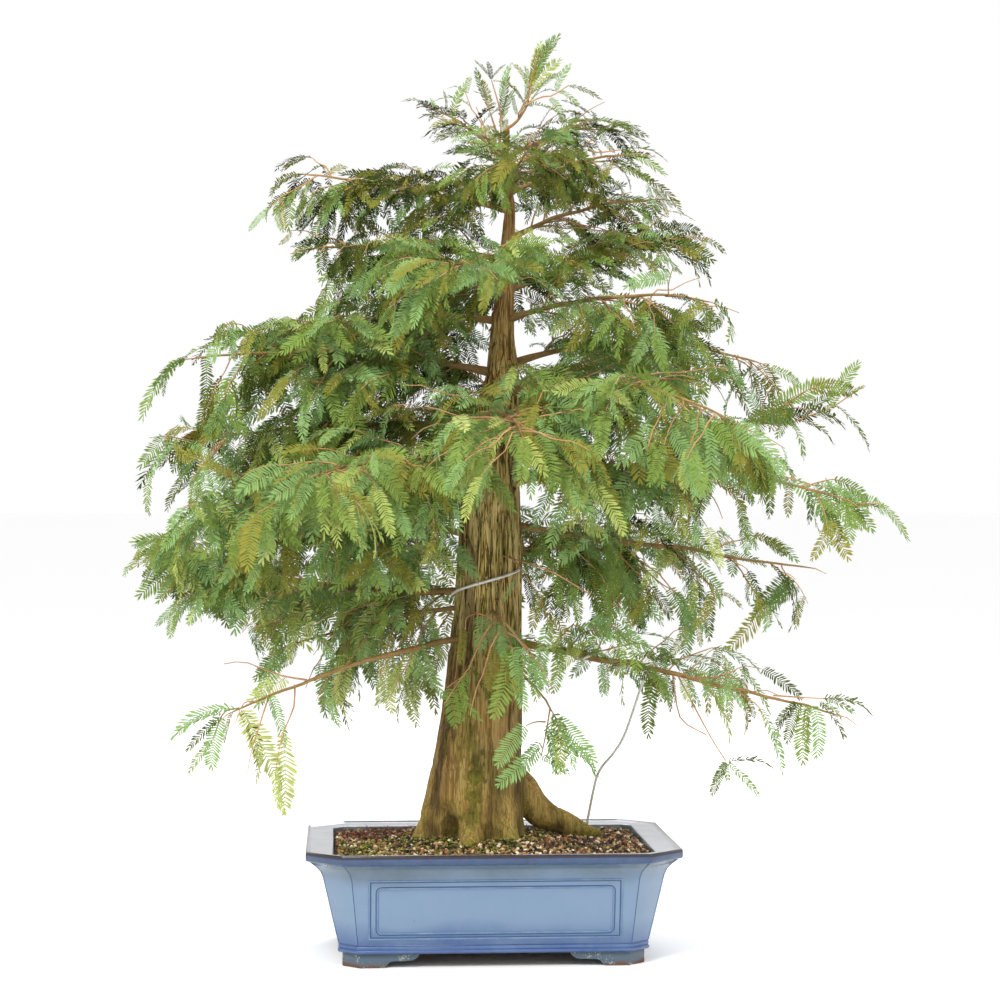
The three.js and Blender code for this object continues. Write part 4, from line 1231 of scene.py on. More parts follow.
@dataclass(frozen=True)
class Crown:
    """The crown's reach and its openings, as they lie on the trunk's plane from in front.

    Attributes:
        eye: The viewer's place in millimetres.
        edges: Rows of a height and the least and greatest X of the foliage there.
        gaps: Openings, as the middle X and Z and half the width and height of each.
        fringe: Depth of the loose outer part of the crown.
    """

    eye: tuple[float, float, float] = (-172.0, -2800.0, 493.5)
    edges: tuple[tuple[float, float, float], ...] = (
        (120, -345, 375), (200, -345, 375), (240, -355, 410), (265, -340, 415), (290, -310, 370),
        (310, -320, 280), (330, -355, 265), (350, -395, 350), (395, -415, 410), (440, -400, 400),
        (460, -390, 460), (505, -385, 435), (525, -370, 350), (560, -360, 380), (615, -380, 415),
        (640, -365, 340), (660, -350, 310), (685, -280, 260), (745, -235, 257), (815, -250, 246),
        (835, -240, 190), (860, -230, 190), (880, -95, 190), (925, -85, 123), (965, -20, 95),
        (1000, -10, 80),
    )
    gaps: tuple[tuple[float, float, float, float], ...] = (
        (263, 428, 24, 83), (359, 547, 55, 22), (315, 465, 57, 13), (332, 628, 37, 35),
        (167, 839, 26, 15), (220, 835, 29, 22), (202, 716, 33, 20), (51, 710, 22, 17),
        (-224, 714, 44, 17), (-339, 615, 33, 13), (-289, 620, 15, 24), (-361, 591, 33, 13),
        (-356, 491, 31, 24), (260, 595, 42, 13), (194, 384, 22, 29), (-287, 318, 50, 26),
        (-207, 246, 29, 44), (106, 268, 61, 35), (222, 232, 94, 33), (-22, 928, 15, 20),
        (-180, 862, 20, 11), (367, 395, 29, 33), (-204, 413, 13, 18), (312, 274, 15, 24),
        (18, 692, 15, 34), (13, 546, 15, 46), (2, 448, 30, 42), (359, 215, 62, 78),
        (-287, 232, 75, 56),
    )
    fringe: float = 62.0

    def seen(self, point: Vector) -> tuple[float, float]:
        """X and Z where a place appears on the trunk's plane."""
        share = self.eye[1] / (self.eye[1] - point.y)
        return (
            self.eye[0] + (point.x - self.eye[0]) * share,
            self.eye[2] + (point.z - self.eye[2]) * share,
        )

    def place(self, x: float, z: float, y: float) -> Vector:
        """The place at a depth Y that appears at X and Z on the trunk's plane."""
        share = self.eye[1] / (self.eye[1] - y)
        across, up = (x - self.eye[0]) / share, (z - self.eye[2]) / share
        return Vector((self.eye[0] + across, y, self.eye[2] + up))

    def depth(self, point: Vector) -> float:
        """How far a place lies inside the crown's left or right edge, less than 0 outside."""
        x, z = self.seen(point)
        heights = [row[0] for row in self.edges]
        low = float(np.interp(z, heights, [row[1] for row in self.edges]))
        high = float(np.interp(z, heights, [row[2] for row in self.edges]))
        return min(x - low, high - x)

    def open(self, point: Vector) -> bool:
        """Whether a place lies in an opening."""
        x, z = self.seen(point)
        return any(((x - a) / w) ** 2 + ((z - b) / h) ** 2 < 1 for a, b, w, h in self.gaps)


class Seeded:
    """The solids' seeded random numbers."""

    def __init__(self, seed: int) -> None:
        """Starts a run of numbers from a seed."""
        self.state = seed & 0xFFFFFFFF

    def next(self) -> float:
        """The next number from 0 to 1."""
        self.state = (self.state + 0x6D2B79F5) & 0xFFFFFFFF
        mixed = self.state
        mixed = ((mixed ^ (mixed >> 15)) * (mixed | 1)) & 0xFFFFFFFF
        mixed ^= (mixed + ((mixed ^ (mixed >> 7)) * (mixed | 61))) & 0xFFFFFFFF
        return (mixed ^ (mixed >> 14)) / 4294967296

    def between(self, low: float, high: float) -> float:
        """The next number from low to high."""
        return low + (high - low) * self.next()


def three_sided(first: int, rings: int) -> list[tuple[int, int, int]]:
    """Triangles through rings of three points each, which are numbered from the first on."""
    faces = []
    for start in range(first, first + 3 * (rings - 1), 3):
        for corner in range(3):
            a, b = start + corner, start + (corner + 1) % 3
            faces += [(a, b, b + 3), (a, b + 3, a + 3)]
    return faces


def spaced(count: int, lead: float, tail: float) -> Iterable[tuple[int, float]]:
    """Places by number and share of a length of count + tail spaces, the first lead spaces in."""
    return ((k, (k + lead) / (count + tail)) for k in range(count))


def turned(heading: Vector, degrees: float) -> Vector:
    """A heading turned about +Z."""
    made = heading.copy()
    made.rotate(Matrix.Rotation(math.radians(degrees), 3, UP))
    return made


@dataclass
class SprayShape:
    """One spray: a thin arched midrib with two ranks of flat needles."""

    length: float
    bend: float  # degrees that the midrib arches down over its length
    sway: float  # degrees that it turns aside
    pairs: int
    seed: int
    steps: int = 40  # places that the midrib is worked out at
    rib: float = 0.5
    rib_steps: int = 4
    rib_taper: float = 0.7
    first_pair: float = 0.05  # share of the midrib before the first pair
    needle: float = 15.0
    needle_swell: tuple[float, float] = (0.16, 0.64)  # where on a half wave the needles begin, and run
    needle_even: float = 0.8  # under 1, the needles are more alike
    needle_range: tuple[float, float] = (0.85, 1.1)
    needle_width: float = 2.55
    needle_roll: float = 24.0
    needle_rise: tuple[float, float] = (-0.12, 0.24)
    shoulder: float = 0.66  # share of a needle's length at which it is widest
    lean_range: tuple[float, float] = (66.0, 78.0)  # degrees between needle and midrib
    lean_loss: float = 24.0
    tip_lean: float = 18.0

    def build(self) -> tuple[np.ndarray, np.ndarray]:
        """Works the spray out.

        Returns:
            Its points in millimetres, rooted at the origin and heading along X with Z its
            upper side, and its triangles.
        """
        random = Seeded(self.seed)
        turn = np.radians(np.linspace(0.0, self.bend, self.steps))
        aside = np.radians(np.linspace(0.0, self.sway, self.steps))
        tangents = np.stack(
            [np.cos(turn) * np.cos(aside), np.sin(aside), -np.sin(turn) * np.cos(aside)], axis=1
        )
        path = np.cumsum(tangents, axis=0) * self.length / self.steps
        points: list[np.ndarray] = []

        def frame_at(share: float) -> tuple[np.ndarray, ...]:
            k = min(self.steps - 1, int(share * (self.steps - 1)))
            along = tangents[k]
            side = np.cross([0.0, 0.0, 1.0], along)
            side = side / np.linalg.norm(side)
            return path[k], along, side, np.cross(along, side)

        for k in range(self.rib_steps + 1):
            place, _, side, upper = frame_at(k / self.rib_steps)
            radius = self.rib * (1.0 - self.rib_taper * k / self.rib_steps)
            for angle in THIRDS:
                points.append(place + radius * (math.cos(angle) * side + math.sin(angle) * upper))
        faces = three_sided(0, self.rib_steps + 1)
        begin, run = self.needle_swell
        for pair in range(self.pairs + 1):
            share = self.first_pair + (1 - self.first_pair) * pair / self.pairs
            place, along, side, upper = frame_at(share)
            full = self.needle * math.sin(math.pi * (begin + run * share)) ** self.needle_even
            for sign in (1, -1):
                lean = math.radians(random.between(*self.lean_range) - self.lean_loss * share)
                if pair == self.pairs:
                    lean = math.radians(self.tip_lean)
                size = full * random.between(*self.needle_range)
                out = along * math.cos(lean) + side * sign * math.sin(lean)
                out = out + upper * random.between(*self.needle_rise)
                roll = math.radians(random.between(-self.needle_roll, self.needle_roll))
                wide = np.cross(upper, out) * math.cos(roll) + upper * math.sin(roll)
                half = wide * self.needle_width / 2
                first = len(points)
                shoulder = place + out * size * self.shoulder
                points += [place - half * 0.5, place + half * 0.5, shoulder + half,
                           place + out * size, shoulder - half]
                faces += [(first, first + 2, first + 1), (first, first + 4, first + 2),
                          (first + 4, first + 3, first + 2)]
        return np.array(points), np.array(faces)


@dataclass
class Growth:
    """What the twigs and sprays of one limb share."""

    random: Seeded
    lowest: Sequence[float]  # the least X, Y and Z that a spray's tip may have
    highest: Sequence[float]
    full: float  # share of the sprays that are there
    slim: float  # how narrow they are
    size: float
    weep: float  # how strongly they hang


@dataclass
class Foliage:
    """Limbs, twigs and sprays, grown by the solids' rule to finer twigs."""

    trunk: Trunk
    effects: SharedEffects
    twig_spacing: float = 16.5
    knot_ends: tuple[float, float] = (0.75, 0.25)
    twig_leave: float = 56.0
    twig_leave_range: tuple[float, float] = (0.75, 1.2)
    twig_loss: float = 0.5
    twig_range: tuple[float, float] = (0.7, 1.15)
    twig_shortest: float = 12.0
    short_shoot: float = 0.55
    twig_sag: float = 0.2
    twig_arch: float = 0.25  # share of the sag that its middle rises by
    twig_sway: float = 5.0
    twig_steps: int = 7
    twig_end: float = 0.45  # radius
    twig_radii: tuple[float, float] = (0.95, 1.25)  # at the root of a short and of a long twig
    long_twig: float = 40.0
    rise_range: tuple[float, float] = (-0.5, 0.7)
    branchlet: float = 46.0  # the length of a branchlet past its twig
    branchlet_bend: float = 0.4
    branchlet_droop: float = 0.08
    # painted shade: how much darker the tints of sprays near the crown's edge are
    fringe_painted_shade: float = 0.1
    fringe_depth: float = 80.0
    spray_spacing: float = 8.7
    spray_ends: tuple[float, float] = (0.8, 0.3)
    spray_leave: tuple[float, float] = (30.0, 64.0)
    spray_rise: float = 0.25
    spray_range: tuple[float, float] = (0.66, 1.04)
    spray_swell: tuple[float, float] = (0.6, 0.48)  # least size along a twig, and how much it grows
    tip_size: float = 0.85
    slimmest: float = 0.62  # how narrow the sprays are at the top
    slim_range: tuple[float, float] = (0.72, 1.05)
    spray_weep: float = 0.55
    weep_range: tuple[float, float] = (-0.15, 1.35)
    low_weep: float = 1.5  # how much more the lowest limbs hang
    low_heights: tuple[float, float] = (300.0, 480.0)
    spray_roll: float = 72.0
    top_spray: float = 0.78
    shrink: tuple[float, float] = (600.0, 920.0)
    leafy_room: float = 30.0
    reach_over: float = 20.0  # how far sprays may stand past their mass's box
    rise_over: float = 55.0  # and above it
    crown: Crown = Crown()
    singly: LooseSprays = LooseSprays()
    single_twig: tuple[float, float] = (1.1, 0.7)  # radii of a twig that shows singly
    fringe_loss: float = 0.32  # share of the twigs that the crown's edge goes without
    twig_past: float = 30.0  # how far a twig may stand past the crown's edge
    stray_past: float = 25.0  # how far a stray spray may
    bare_twigs: float = 0.16  # share of the twigs without sprays that stay
    stray: float = 0.1  # share of the sprays that stand in an opening or past the edge
    trunk_room: float = 3.0
    fan: tuple[int, ...] = (-50, -20, 0, 24, 54)  # turns of the sprays at a limb's end
    fan_size: float = 1.1
    fan_weep: float = 0.8
    tip_weep: float = 0.6  # how much less the spray at a twig's end hangs
    limb_sides: int = 10
    limb_step: float = 11.0
    limb_taper: float = 0.8  # under 1, a limb thins more near the trunk
    crook: tuple[float, float] = (55.0, 4.0)  # the size of a limb's bends, and how far they reach
    fine_crook: tuple[float, float] = (17.0, 0.9)
    knot_rise: float = 0.12
    knot_size: float = 12.0
    collar: float = 0.35  # how much thicker a limb is where it leaves the trunk
    collar_end: float = 0.16
    piece_sprays: int = 1250
    tone: float = 0.51
    tone_loss: float = 0.17  # how much older the tints are at the top
    tone_heights: tuple[float, float] = (420.0, 860.0)
    twig_tones: float = 0.2
    spray_tones: float = 0.22
    stops: tuple[tuple[float, Tint], ...] = (
        (0.13, Tint.DEEP), (0.25, Tint.SHADE), (0.36, Tint.OLIVE), (0.5, Tint.MID),
        (0.69, Tint.MINT), (0.88, Tint.FRESH), (9.0, Tint.LIME),
    )
    rust_share: float = 0.0012
    colors: tuple[tuple[Tint, Color], ...] = (
        (Tint.DEEP, srgb(46, 56, 16)),
        (Tint.SHADE, srgb(82, 94, 34)),
        (Tint.OLIVE, srgb(126, 124, 50)),
        (Tint.MID, srgb(114, 136, 62)),
        (Tint.MINT, srgb(122, 152, 90)),
        (Tint.FRESH, srgb(152, 164, 86)),
        (Tint.LIME, srgb(170, 178, 106)),
        (Tint.RUST, srgb(158, 120, 64)),
    )
    shapes: list[tuple[np.ndarray, np.ndarray]] = field(default_factory=list)
    twigs: list[tuple[list[Vector], float, float]] = field(default_factory=list)
    sprays: list[tuple[Tint, int, Vector, Matrix, float]] = field(default_factory=list)

    def __post_init__(self) -> None:
        """Makes the few spray shapes that all sprays are copies of."""
        rows = ((66, 34, 5, 19), (72, 52, -9, 20), (60, 66, 7, 17), (56, 24, -6, 16), (74, 42, 12, 21))
        for k, row in enumerate(rows):
            self.shapes.append(SprayShape(*row, seed=SEED + k).build())

    def tip_of(self, kind: int) -> Vector:
        """The tip of a spray shape."""
        return Vector(self.shapes[kind][0][-2])

    def frame_of(self, heading: Vector, roll: float) -> Matrix:
        """Axes whose X is the heading, Y its left and Z its upper side, rolled about it."""
        left = UP.cross(heading).normalized()
        left.rotate(Matrix.Rotation(math.radians(roll), 3, heading))
        return Matrix((heading, left, heading.cross(left))).transposed()

    def hung(self, heading: Vector, growth: Growth, weep: float) -> Vector:
        """A direction that hangs more or less under a heading."""
        hang = heading - UP * self.spray_weep * weep * growth.random.between(*self.weep_range)
        return hang.normalized()

    def clear(self, point: Vector) -> bool:
        """Whether a place is clear of the trunk."""
        section = self.trunk.at(point.z)
        return math.hypot(point.x - section.x, point.y - section.y) > section.r + self.trunk_room

    def spray(
        self, growth: Growth, root: Vector, heading: Vector, size: float, weep: float, tone: float
    ) -> None:
        """Adds a spray where its root and tip stay in the mass's reach and off the trunk.

        Args:
            growth: What the limb's sprays share.
            root: Where it stands.
            heading: Where it would head if it didn't hang.
            size: Its size.
            weep: How strongly it hangs.
            tone: How young it is.
        """
        random = growth.random
        hang = self.hung(heading, growth, weep)
        roll = random.between(-self.spray_roll, self.spray_roll)
        scale = size * random.between(*self.spray_range)
        slim = growth.slim * random.between(*self.slim_range)
        kind = min(len(self.shapes) - 1, int(random.next() * len(self.shapes)))
        shade = tone + random.between(-self.spray_tones, self.spray_tones)
        stray = random.next() < self.stray
        old = random.next() < self.rust_share
        if random.next() > growth.full:
            return
        axes = self.frame_of(hang, roll)
        tip = root + axes @ self.tip_of(kind) * scale
        middle = root.lerp(tip, 0.5)
        edge = min(self.crown.depth(tip), self.crown.depth(middle))
        # painted shade: darker tints towards the crown's edge
        shade -= self.fringe_painted_shade * (1 - smooth(0, self.fringe_depth, edge))
        if edge < (-self.stray_past if stray else 0):
            return
        if not stray and any(self.crown.open(place) for place in (middle, tip)):
            return
        reach = zip(growth.lowest, tip, growth.highest)
        if not all(low < value < high for low, value, high in reach):
            return
        if self.clear(root) and self.clear(middle) and self.clear(tip):
            tint = next(tint for stop, tint in self.stops if shade < stop)
            tint = Tint.RUST if old else tint
            self.sprays.append((tint, kind, root, axes @ Matrix.Diagonal((1, slim, 1)), scale))

    def twig_places(
        self, growth: Growth, root: Vector, heading: Vector, length: float
    ) -> list[Vector]:
        """Places along a twig and its branchlet: out along its heading, then hanging over."""
        weep = growth.weep
        sag = self.twig_sag * length * min(1.0, weep)
        end = root + heading * max(self.twig_shortest, length) - UP * sag
        hang = self.hung(heading, growth, weep)
        past = self.branchlet * growth.size
        sway = Vector([growth.random.between(-self.twig_sway, self.twig_sway) for _ in range(3)])
        bend = end + heading.lerp(hang, self.branchlet_bend).normalized() * past * 0.5
        tip = bend + hang * past * 0.5 - UP * past * self.branchlet_droop * weep
        middle = root.lerp(end, 0.5) + UP * sag * self.twig_arch + sway
        return [root, middle, end, bend, tip]

    def branchlet_at(
        self, growth: Growth, root: Vector, heading: Vector, length: float, tone: float
    ) -> None:
        """A twig that leaves its stem, hangs over and carries sprays on both sides.

        Args:
            growth: What the limb's twigs share.
            root: Where it leaves.
            heading: Its first direction.
            length: The length of the twig as the solids have it.
            tone: How young its needles are.
        """
        random, size, weep = growth.random, growth.size, growth.weep
        places = self.twig_places(growth, root, heading, length)
        path = spline_curve(places)
        edge = self.crown.depth(places[-1])
        loss = self.fringe_loss if edge < self.crown.fringe else 0.0
        if random.next() < loss or edge < -self.twig_past:
            return
        before = len(self.sprays)
        count = max(2, round(path.length / (self.spray_spacing * size)))
        least, more = self.spray_swell
        for k, share in spaced(count, *self.spray_ends):
            side = 1 if k % 2 else -1
            out = turned(path.heading(share), side * random.between(*self.spray_leave))
            out.z += random.between(-self.spray_rise, self.spray_rise)
            out.normalize()
            grow = size * (least + more * math.sin(math.pi * min(1.0, share * 1.05)))
            self.spray(growth, path.at(share), out, grow, weep, tone)
        end, ahead = path.at(1.0), path.heading(1.0)
        self.spray(growth, end, ahead, size * self.tip_size, weep * self.tip_weep, tone)
        if len(self.sprays) > before + 2 or random.next() < self.bare_twigs:
            thin, thick = self.twig_radii
            self.add_twig(path, thick if length > self.long_twig else thin, self.twig_end)
        else:
            del self.sprays[before:]

    def add_twig(self, path: Curve, thick: float, thin: float) -> None:
        """Adds a twig along a path, from one radius to another."""
        steps = self.twig_steps
        self.twigs.append(([path.at(k / steps) for k in range(steps + 1)], thick, thin))

    def growth(self, index: int, limb: Limb, path: Curve) -> Growth:
        """What all twigs and sprays of a limb share; its place in the list seeds it."""
        low, high = (Vector(corner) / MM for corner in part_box(f"mass_{limb.name}"))
        leafy = path.at(limb.leafy)
        for k in range(3):
            low[k] = min(low[k], leafy[k] - self.leafy_room)
            high[k] = max(high[k], leafy[k] + self.leafy_room)
        shrunk = smooth(*self.shrink, limb.height)
        return Growth(
            random=Seeded(SEED + index),
            lowest=[value - self.reach_over for value in low],
            highest=[high.x + self.reach_over, high.y + self.reach_over, high.z + self.rise_over],
            full=limb.full,
            slim=1.0 + (self.slimmest - 1.0) * shrunk,
            size=1.0 + (self.top_spray - 1.0) * shrunk,
            weep=limb.weep * (1 + (self.low_weep - 1) * (1 - smooth(*self.low_heights, limb.height))),
        )

    def limb(self, index: int, limb: Limb, path: Curve) -> None:
        """Grows the twigs of one limb along its path."""
        growth = self.growth(index, limb, path)
        random, size, weep = growth.random, growth.size, growth.weep
        stem = path.length * (1 - limb.leafy)
        knots = max(2, round(stem / (self.twig_spacing * (0.75 + 0.25 * size))))
        fresh = self.tone - self.tone_loss * smooth(*self.tone_heights, limb.height) + limb.fresh
        for k, share in spaced(knots, *self.knot_ends):
            place = limb.leafy + (1 - limb.leafy) * share
            root = path.at(place)
            for side, reach in ((1, 1.0), (-1, self.short_shoot)):
                turn = side if k % 2 == 0 else -side
                leave = self.twig_leave * random.between(*self.twig_leave_range)
                heading = turned(path.heading(place), turn * leave)
                heading.z += random.between(*self.rise_range) + limb.lift
                heading.normalize()
                length = limb.spread * (1 - self.twig_loss * share) * reach
                length *= random.between(*self.twig_range)
                tone = fresh + random.between(-self.twig_tones, self.twig_tones)
                if random.next() < (limb.full + 1) / 2:
                    self.branchlet_at(growth, root, heading, length, tone)
        end = path.at(1.0)
        ahead = path.heading(1.0)
        self.twigs.append(([end, end + ahead * 14, end + ahead * 26 - UP * 4 * weep], 1.0, 0.4))
        growth.full = 1.0
        for turn in self.fan:
            root = end + ahead * (20 - abs(turn) / 4)
            out = turned(ahead, turn)
            self.spray(growth, root, out, size * self.fan_size, weep * self.fan_weep, fresh)

    def loose(self) -> None:
        """Adds the sprays and twigs that show singly."""
        for path in self.singly.twigs:
            line = spline_curve([self.crown.place(*row) for row in path])
            self.add_twig(line, *self.single_twig)
        for tint, rows in self.singly.sprays:
            for row in rows:
                self.single_spray(tint, *row)

    def single_spray(self, tint: Tint, x: float, z: float, tip_x: float, tip_z: float, y: float,
                     turn: float, slim: float, kind: int) -> None:
        """Adds a spray from its root to its tip, its face turned to the viewer by some degrees."""
        root, tip = self.crown.place(x, z, y), self.crown.place(tip_x, tip_z, y)
        along = (tip - root).normalized()
        upper = (UP - along * along.z).normalized() * math.cos(math.radians(turn))
        upper.y -= math.sin(math.radians(turn))
        reach = self.tip_of(kind)
        axes = Matrix((along, upper.cross(along), upper)).transposed()
        axes = axes @ Matrix.Rotation(math.atan2(reach.z, reach.x), 3, "Y")
        axes = axes @ Matrix.Diagonal((1, slim, 1))
        self.sprays.append((tint, kind, root, axes, (tip - root).length / reach.length))

    def limb_piece(self, limb: Limb, path: Curve) -> bpy.types.Object:
        """The limb's own tapering skin, a little crooked, from inside the trunk to its tip."""
        steps = max(8, round(path.length / self.limb_step))
        (size, reach), (fine_size, fine_reach) = self.crook, self.fine_crook
        points, radii = [], []
        for k in range(steps + 1):
            share = k / steps
            point = path.at(share)
            fade = smooth(0.05, 0.3, share) * (1 - smooth(0.9, 1.0, share))
            crook = noise.noise_vector(point / size + Vector((limb.height, 0, 0)))
            fine = noise.noise_vector(point / fine_size)
            points.append(point + (crook * reach + fine * fine_reach) * fade)
            slim = limb.girth + (limb.TIP_RADIUS - limb.girth) * share**self.limb_taper
            knot = 1 + self.knot_rise * noise.noise(point / self.knot_size + Vector((3, 3, 3)))
            collar = 1 + self.collar * (1 - smooth(0.0, self.collar_end, share))
            radii.append(slim * knot * collar)
        return tube(f"limb_{limb.name}", points, radii, sides=self.limb_sides)

    def twig_piece(self) -> bpy.types.Object:
        """All twigs in one mesh of slim three-sided skins."""
        rows, faces = [], []
        for path, thick, thin in self.twigs:
            start, last = len(rows), len(path) - 1
            for k, point in enumerate(path):
                ahead = path[min(k + 1, last)] - path[max(k - 1, 0)]
                axes = self.frame_of(ahead.normalized(), 0.0)
                radius = thick + (thin - thick) * k / last
                for angle in THIRDS:
                    offset = Vector((0.0, math.cos(angle), math.sin(angle))) * radius
                    rows.append(point + axes @ offset)
            end = start + 3 * last
            faces += three_sided(start, len(path))
            faces += [(start, start + 2, start + 1), (end, end + 1, end + 2)]
        made = array_piece("twigs", np.array(rows), np.array(faces))
        activate(made)
        bpy.ops.object.shade_smooth()
        return made

    def needle_pieces(self, tint: Tint) -> list[bpy.types.Object]:
        """The sprays of one tint, in as many pieces as their number asks for."""
        chosen = [row for row in self.sprays if row[0] is tint]
        made = []
        for number, start in enumerate(range(0, len(chosen), self.piece_sprays)):
            points, faces, total = [], [], 0
            for _, kind, root, axes, scale in chosen[start : start + self.piece_sprays]:
                shape, triangles = self.shapes[kind]
                points.append(shape @ np.array(axes).T * scale + np.array(root))
                faces.append(triangles + total)
                total += len(shape)
            name = f"needles_{tint.value}_{number + 1}"
            made.append(array_piece(name, np.concatenate(points), np.concatenate(faces)))
        return made

    def build(self) -> None:
        """Grows, meshes and hands over the limbs, twigs and needles."""
        bark = LimbFinish(self.effects, "bough_bark", srgb(116, 96, 52), srgb(166, 130, 80)).material()
        shoot = LimbFinish(self.effects, "twig_bark", srgb(164, 118, 76), srgb(206, 160, 116)).material()
        masses = [f"mass_{limb.name}" for limb in LIMBS]
        for index, limb in enumerate(LIMBS):
            path = limb.curve(self.trunk)
            self.limb(index, limb, path)
            nodes = [f"bough_{limb.name}"] if limb.bare > 0 else []
            hand_over(self.limb_piece(limb, path), Slot.SHOOT, nodes, bark)
        self.loose()
        hand_over(self.twig_piece(), Slot.SHOOT, masses, shoot)
        slots = {Tint.DEEP: Slot.DEEP_LEAF, Tint.SHADE: Slot.DEEP_LEAF, Tint.MID: Slot.MID_LEAF}
        for tint, color in self.colors:
            finish = PlainFinish(f"needle_{tint.value}", color).material()
            for piece in self.needle_pieces(tint):
                hand_over(piece, slots.get(tint, Slot.FRESH_LEAF), masses, finish)
        log.info("%d twigs, %d sprays", len(self.twigs), len(self.sprays))


@dataclass
class Pot:
    """The glazed pot: body, rim, panel frames and four feet."""

    effects: SharedEffects
    length: float = 400.0
    depth: float = 300.0
    height: float = 121.5
    foot_height: float = 15.6
    lip: float = 30.0
    rim_foot: float = 113.0
    rim_corner: float = 38.0
    rim_rise: float = 2.0  # how far the rim's outer edge stands over the lip
    floor: float = 27.6
    wall: float = 12.0
    opening_corner: float = 10.0
    wall_heights: tuple[float, ...] = (24.1, 95.0, 101.8, 107.3, 112.6)
    wall_insets: tuple[float, ...] = (35.2, 18.9, 16.1, 11.3, 5.0)
    wall_levels: tuple[float, ...] = (60.0, 95.0, 98.5, 101.8, 104.6, 107.3, 110.0, 112.4)
    corner_heights: tuple[float, ...] = (24.1, 104.0, 113.0)
    corner_legs: tuple[float, ...] = (20.0, 31.0, 35.0)  # of the cut corners at those heights
    beads: tuple[tuple[float, float], ...] = (  # further inset and height over the foot
        (2.0, 0.0), (-0.8, 0.7), (-1.2, 2.0), (-0.8, 3.4), (0.4, 4.1), (-0.3, 4.7), (-0.6, 6.0),
        (-0.1, 7.4), (0.4, 8.3),
    )
    grooves: tuple[tuple[float, float], ...] = ((0.25, 0.3), (0.45, 4.1), (0.1, 8.6))
    groove: float = 0.6  # radius of the glaze that fills a groove
    edge: float = 0.42
    frame_inset: tuple[float, float] = (67.0, 75.6)  # from the pot's end to each panel line
    frame_low: tuple[float, float] = (31.5, 37.4)
    frame_high: tuple[float, float] = (94.6, 86.4)
    frame_corner: tuple[float, float] = (1.2, 4.5)
    frame_least_corner: float = 0.4
    bead: float = 1.15
    # painted shade: the dark strips beside the panel lines are partly pooled glaze, partly shade painted
    # beside the ridges
    shade_pool: float = 0.55
    shade_pool_beside: tuple[float, float] = (-1.5, 1.5)  # inside the outer line, outside the inner
    leg_inset: float = 39.0
    foot_span: float = 81.0
    foot_toe: float = 46.0
    foot_thick: float = 24.0
    side_arm: float = 0.8  # length of a foot's side arm against its front arm
    foot_cut: float = 9.0
    softness: float = 35.0  # degrees under which an edge is shaded smooth

    WALL, RIM, LIP, BROKEN, UNDER = range(5)

    def octagon(self, inset: float, corner: float, z: float) -> list[Vector]:
        """A rectangle with cut corners at a height, inset from the rim's outline."""
        x, y = self.length / 2 - inset, self.depth / 2 - inset
        plan = (
            (x, corner - y), (x, y - corner), (x - corner, y), (corner - x, y),
            (-x, y - corner), (-x, corner - y), (corner - x, -y), (x - corner, -y),
        )
        return [Vector((px, py, z)) for px, py in plan]

    def wall_inset(self, z: float) -> float:
        """How far the wall lies inside the rim's outline at a height."""
        return float(np.interp(z, self.wall_heights, self.wall_insets))

    def wall_ring(self, z: float) -> list[Vector]:
        """The wall's outline at a height."""
        corner = float(np.interp(z, self.corner_heights, self.corner_legs))
        return self.octagon(self.wall_inset(z), corner, z)

    def foot_ring(self, further: float, up: float) -> list[Vector]:
        """An outline of the beaded foot, further inset and some height over the pot's feet."""
        return self.octagon(self.wall_insets[0] + further, self.corner_legs[0], self.foot_height + up)

    def body(self) -> bpy.types.Object:
        """The pot's body with its beaded foot, cove, rim, flat lip and inside."""
        rim_foot, top, rise = self.rim_foot, self.height, self.rim_rise
        rings = [self.foot_ring(*bead) for bead in self.beads]
        rings += [self.wall_ring(z) for z in (24.6, *self.wall_levels)]
        rim = ((2.4, rim_foot - 0.3), (0.7, rim_foot + 0.8), (0.1, rim_foot + 3.0),
               (0.1, top - 1.5), (0.5, top + rise * 0.5), (1.7, top + rise),
               (3.2, top + rise * 0.7), (4.4, top + 0.1), (7.0, top - 0.5))
        rings += [self.octagon(inset, self.rim_corner, z) for inset, z in rim]
        mouth = ((self.lip - 2.5, top - 0.9), (self.lip - 0.8, top - 1.5))
        rings += [self.octagon(inset, self.opening_corner + 2, z) for inset, z in mouth]
        rings.append(self.octagon(self.lip, self.opening_corner, top - 4.0))
        rings.append(self.octagon(self.wall_insets[0] + self.wall, self.opening_corner, self.floor))
        made = lofted("pot_glazed", rings)
        bevelled(made, 1.1, 30)
        smoothed(made, self.softness)
        return made

    def dress_body(self, made: bpy.types.Object) -> None:
        """Gives the rim band, the lip, the rim's broken edge and the underside their own finish."""
        across, deep, rim_width = self.length / 2, self.depth / 2, 3.6
        for face in made.data.polygons:
            x, y, height = (abs(value) / MM for value in face.center)
            cut = (across + deep - self.rim_corner - x - y) / math.sqrt(2)
            inset = min(across - x, deep - y, cut)
            if height > self.height - 1.0 and inset < rim_width:
                face.material_index = self.BROKEN
            elif height > self.height - 3.4 and face.normal.z > 0.35:
                face.material_index = self.LIP
            elif height > self.rim_foot - 0.6 and inset < rim_width:
                face.material_index = self.RIM
            elif height < self.foot_height + 0.5 and face.normal.z < -0.5:
                face.material_index = self.UNDER

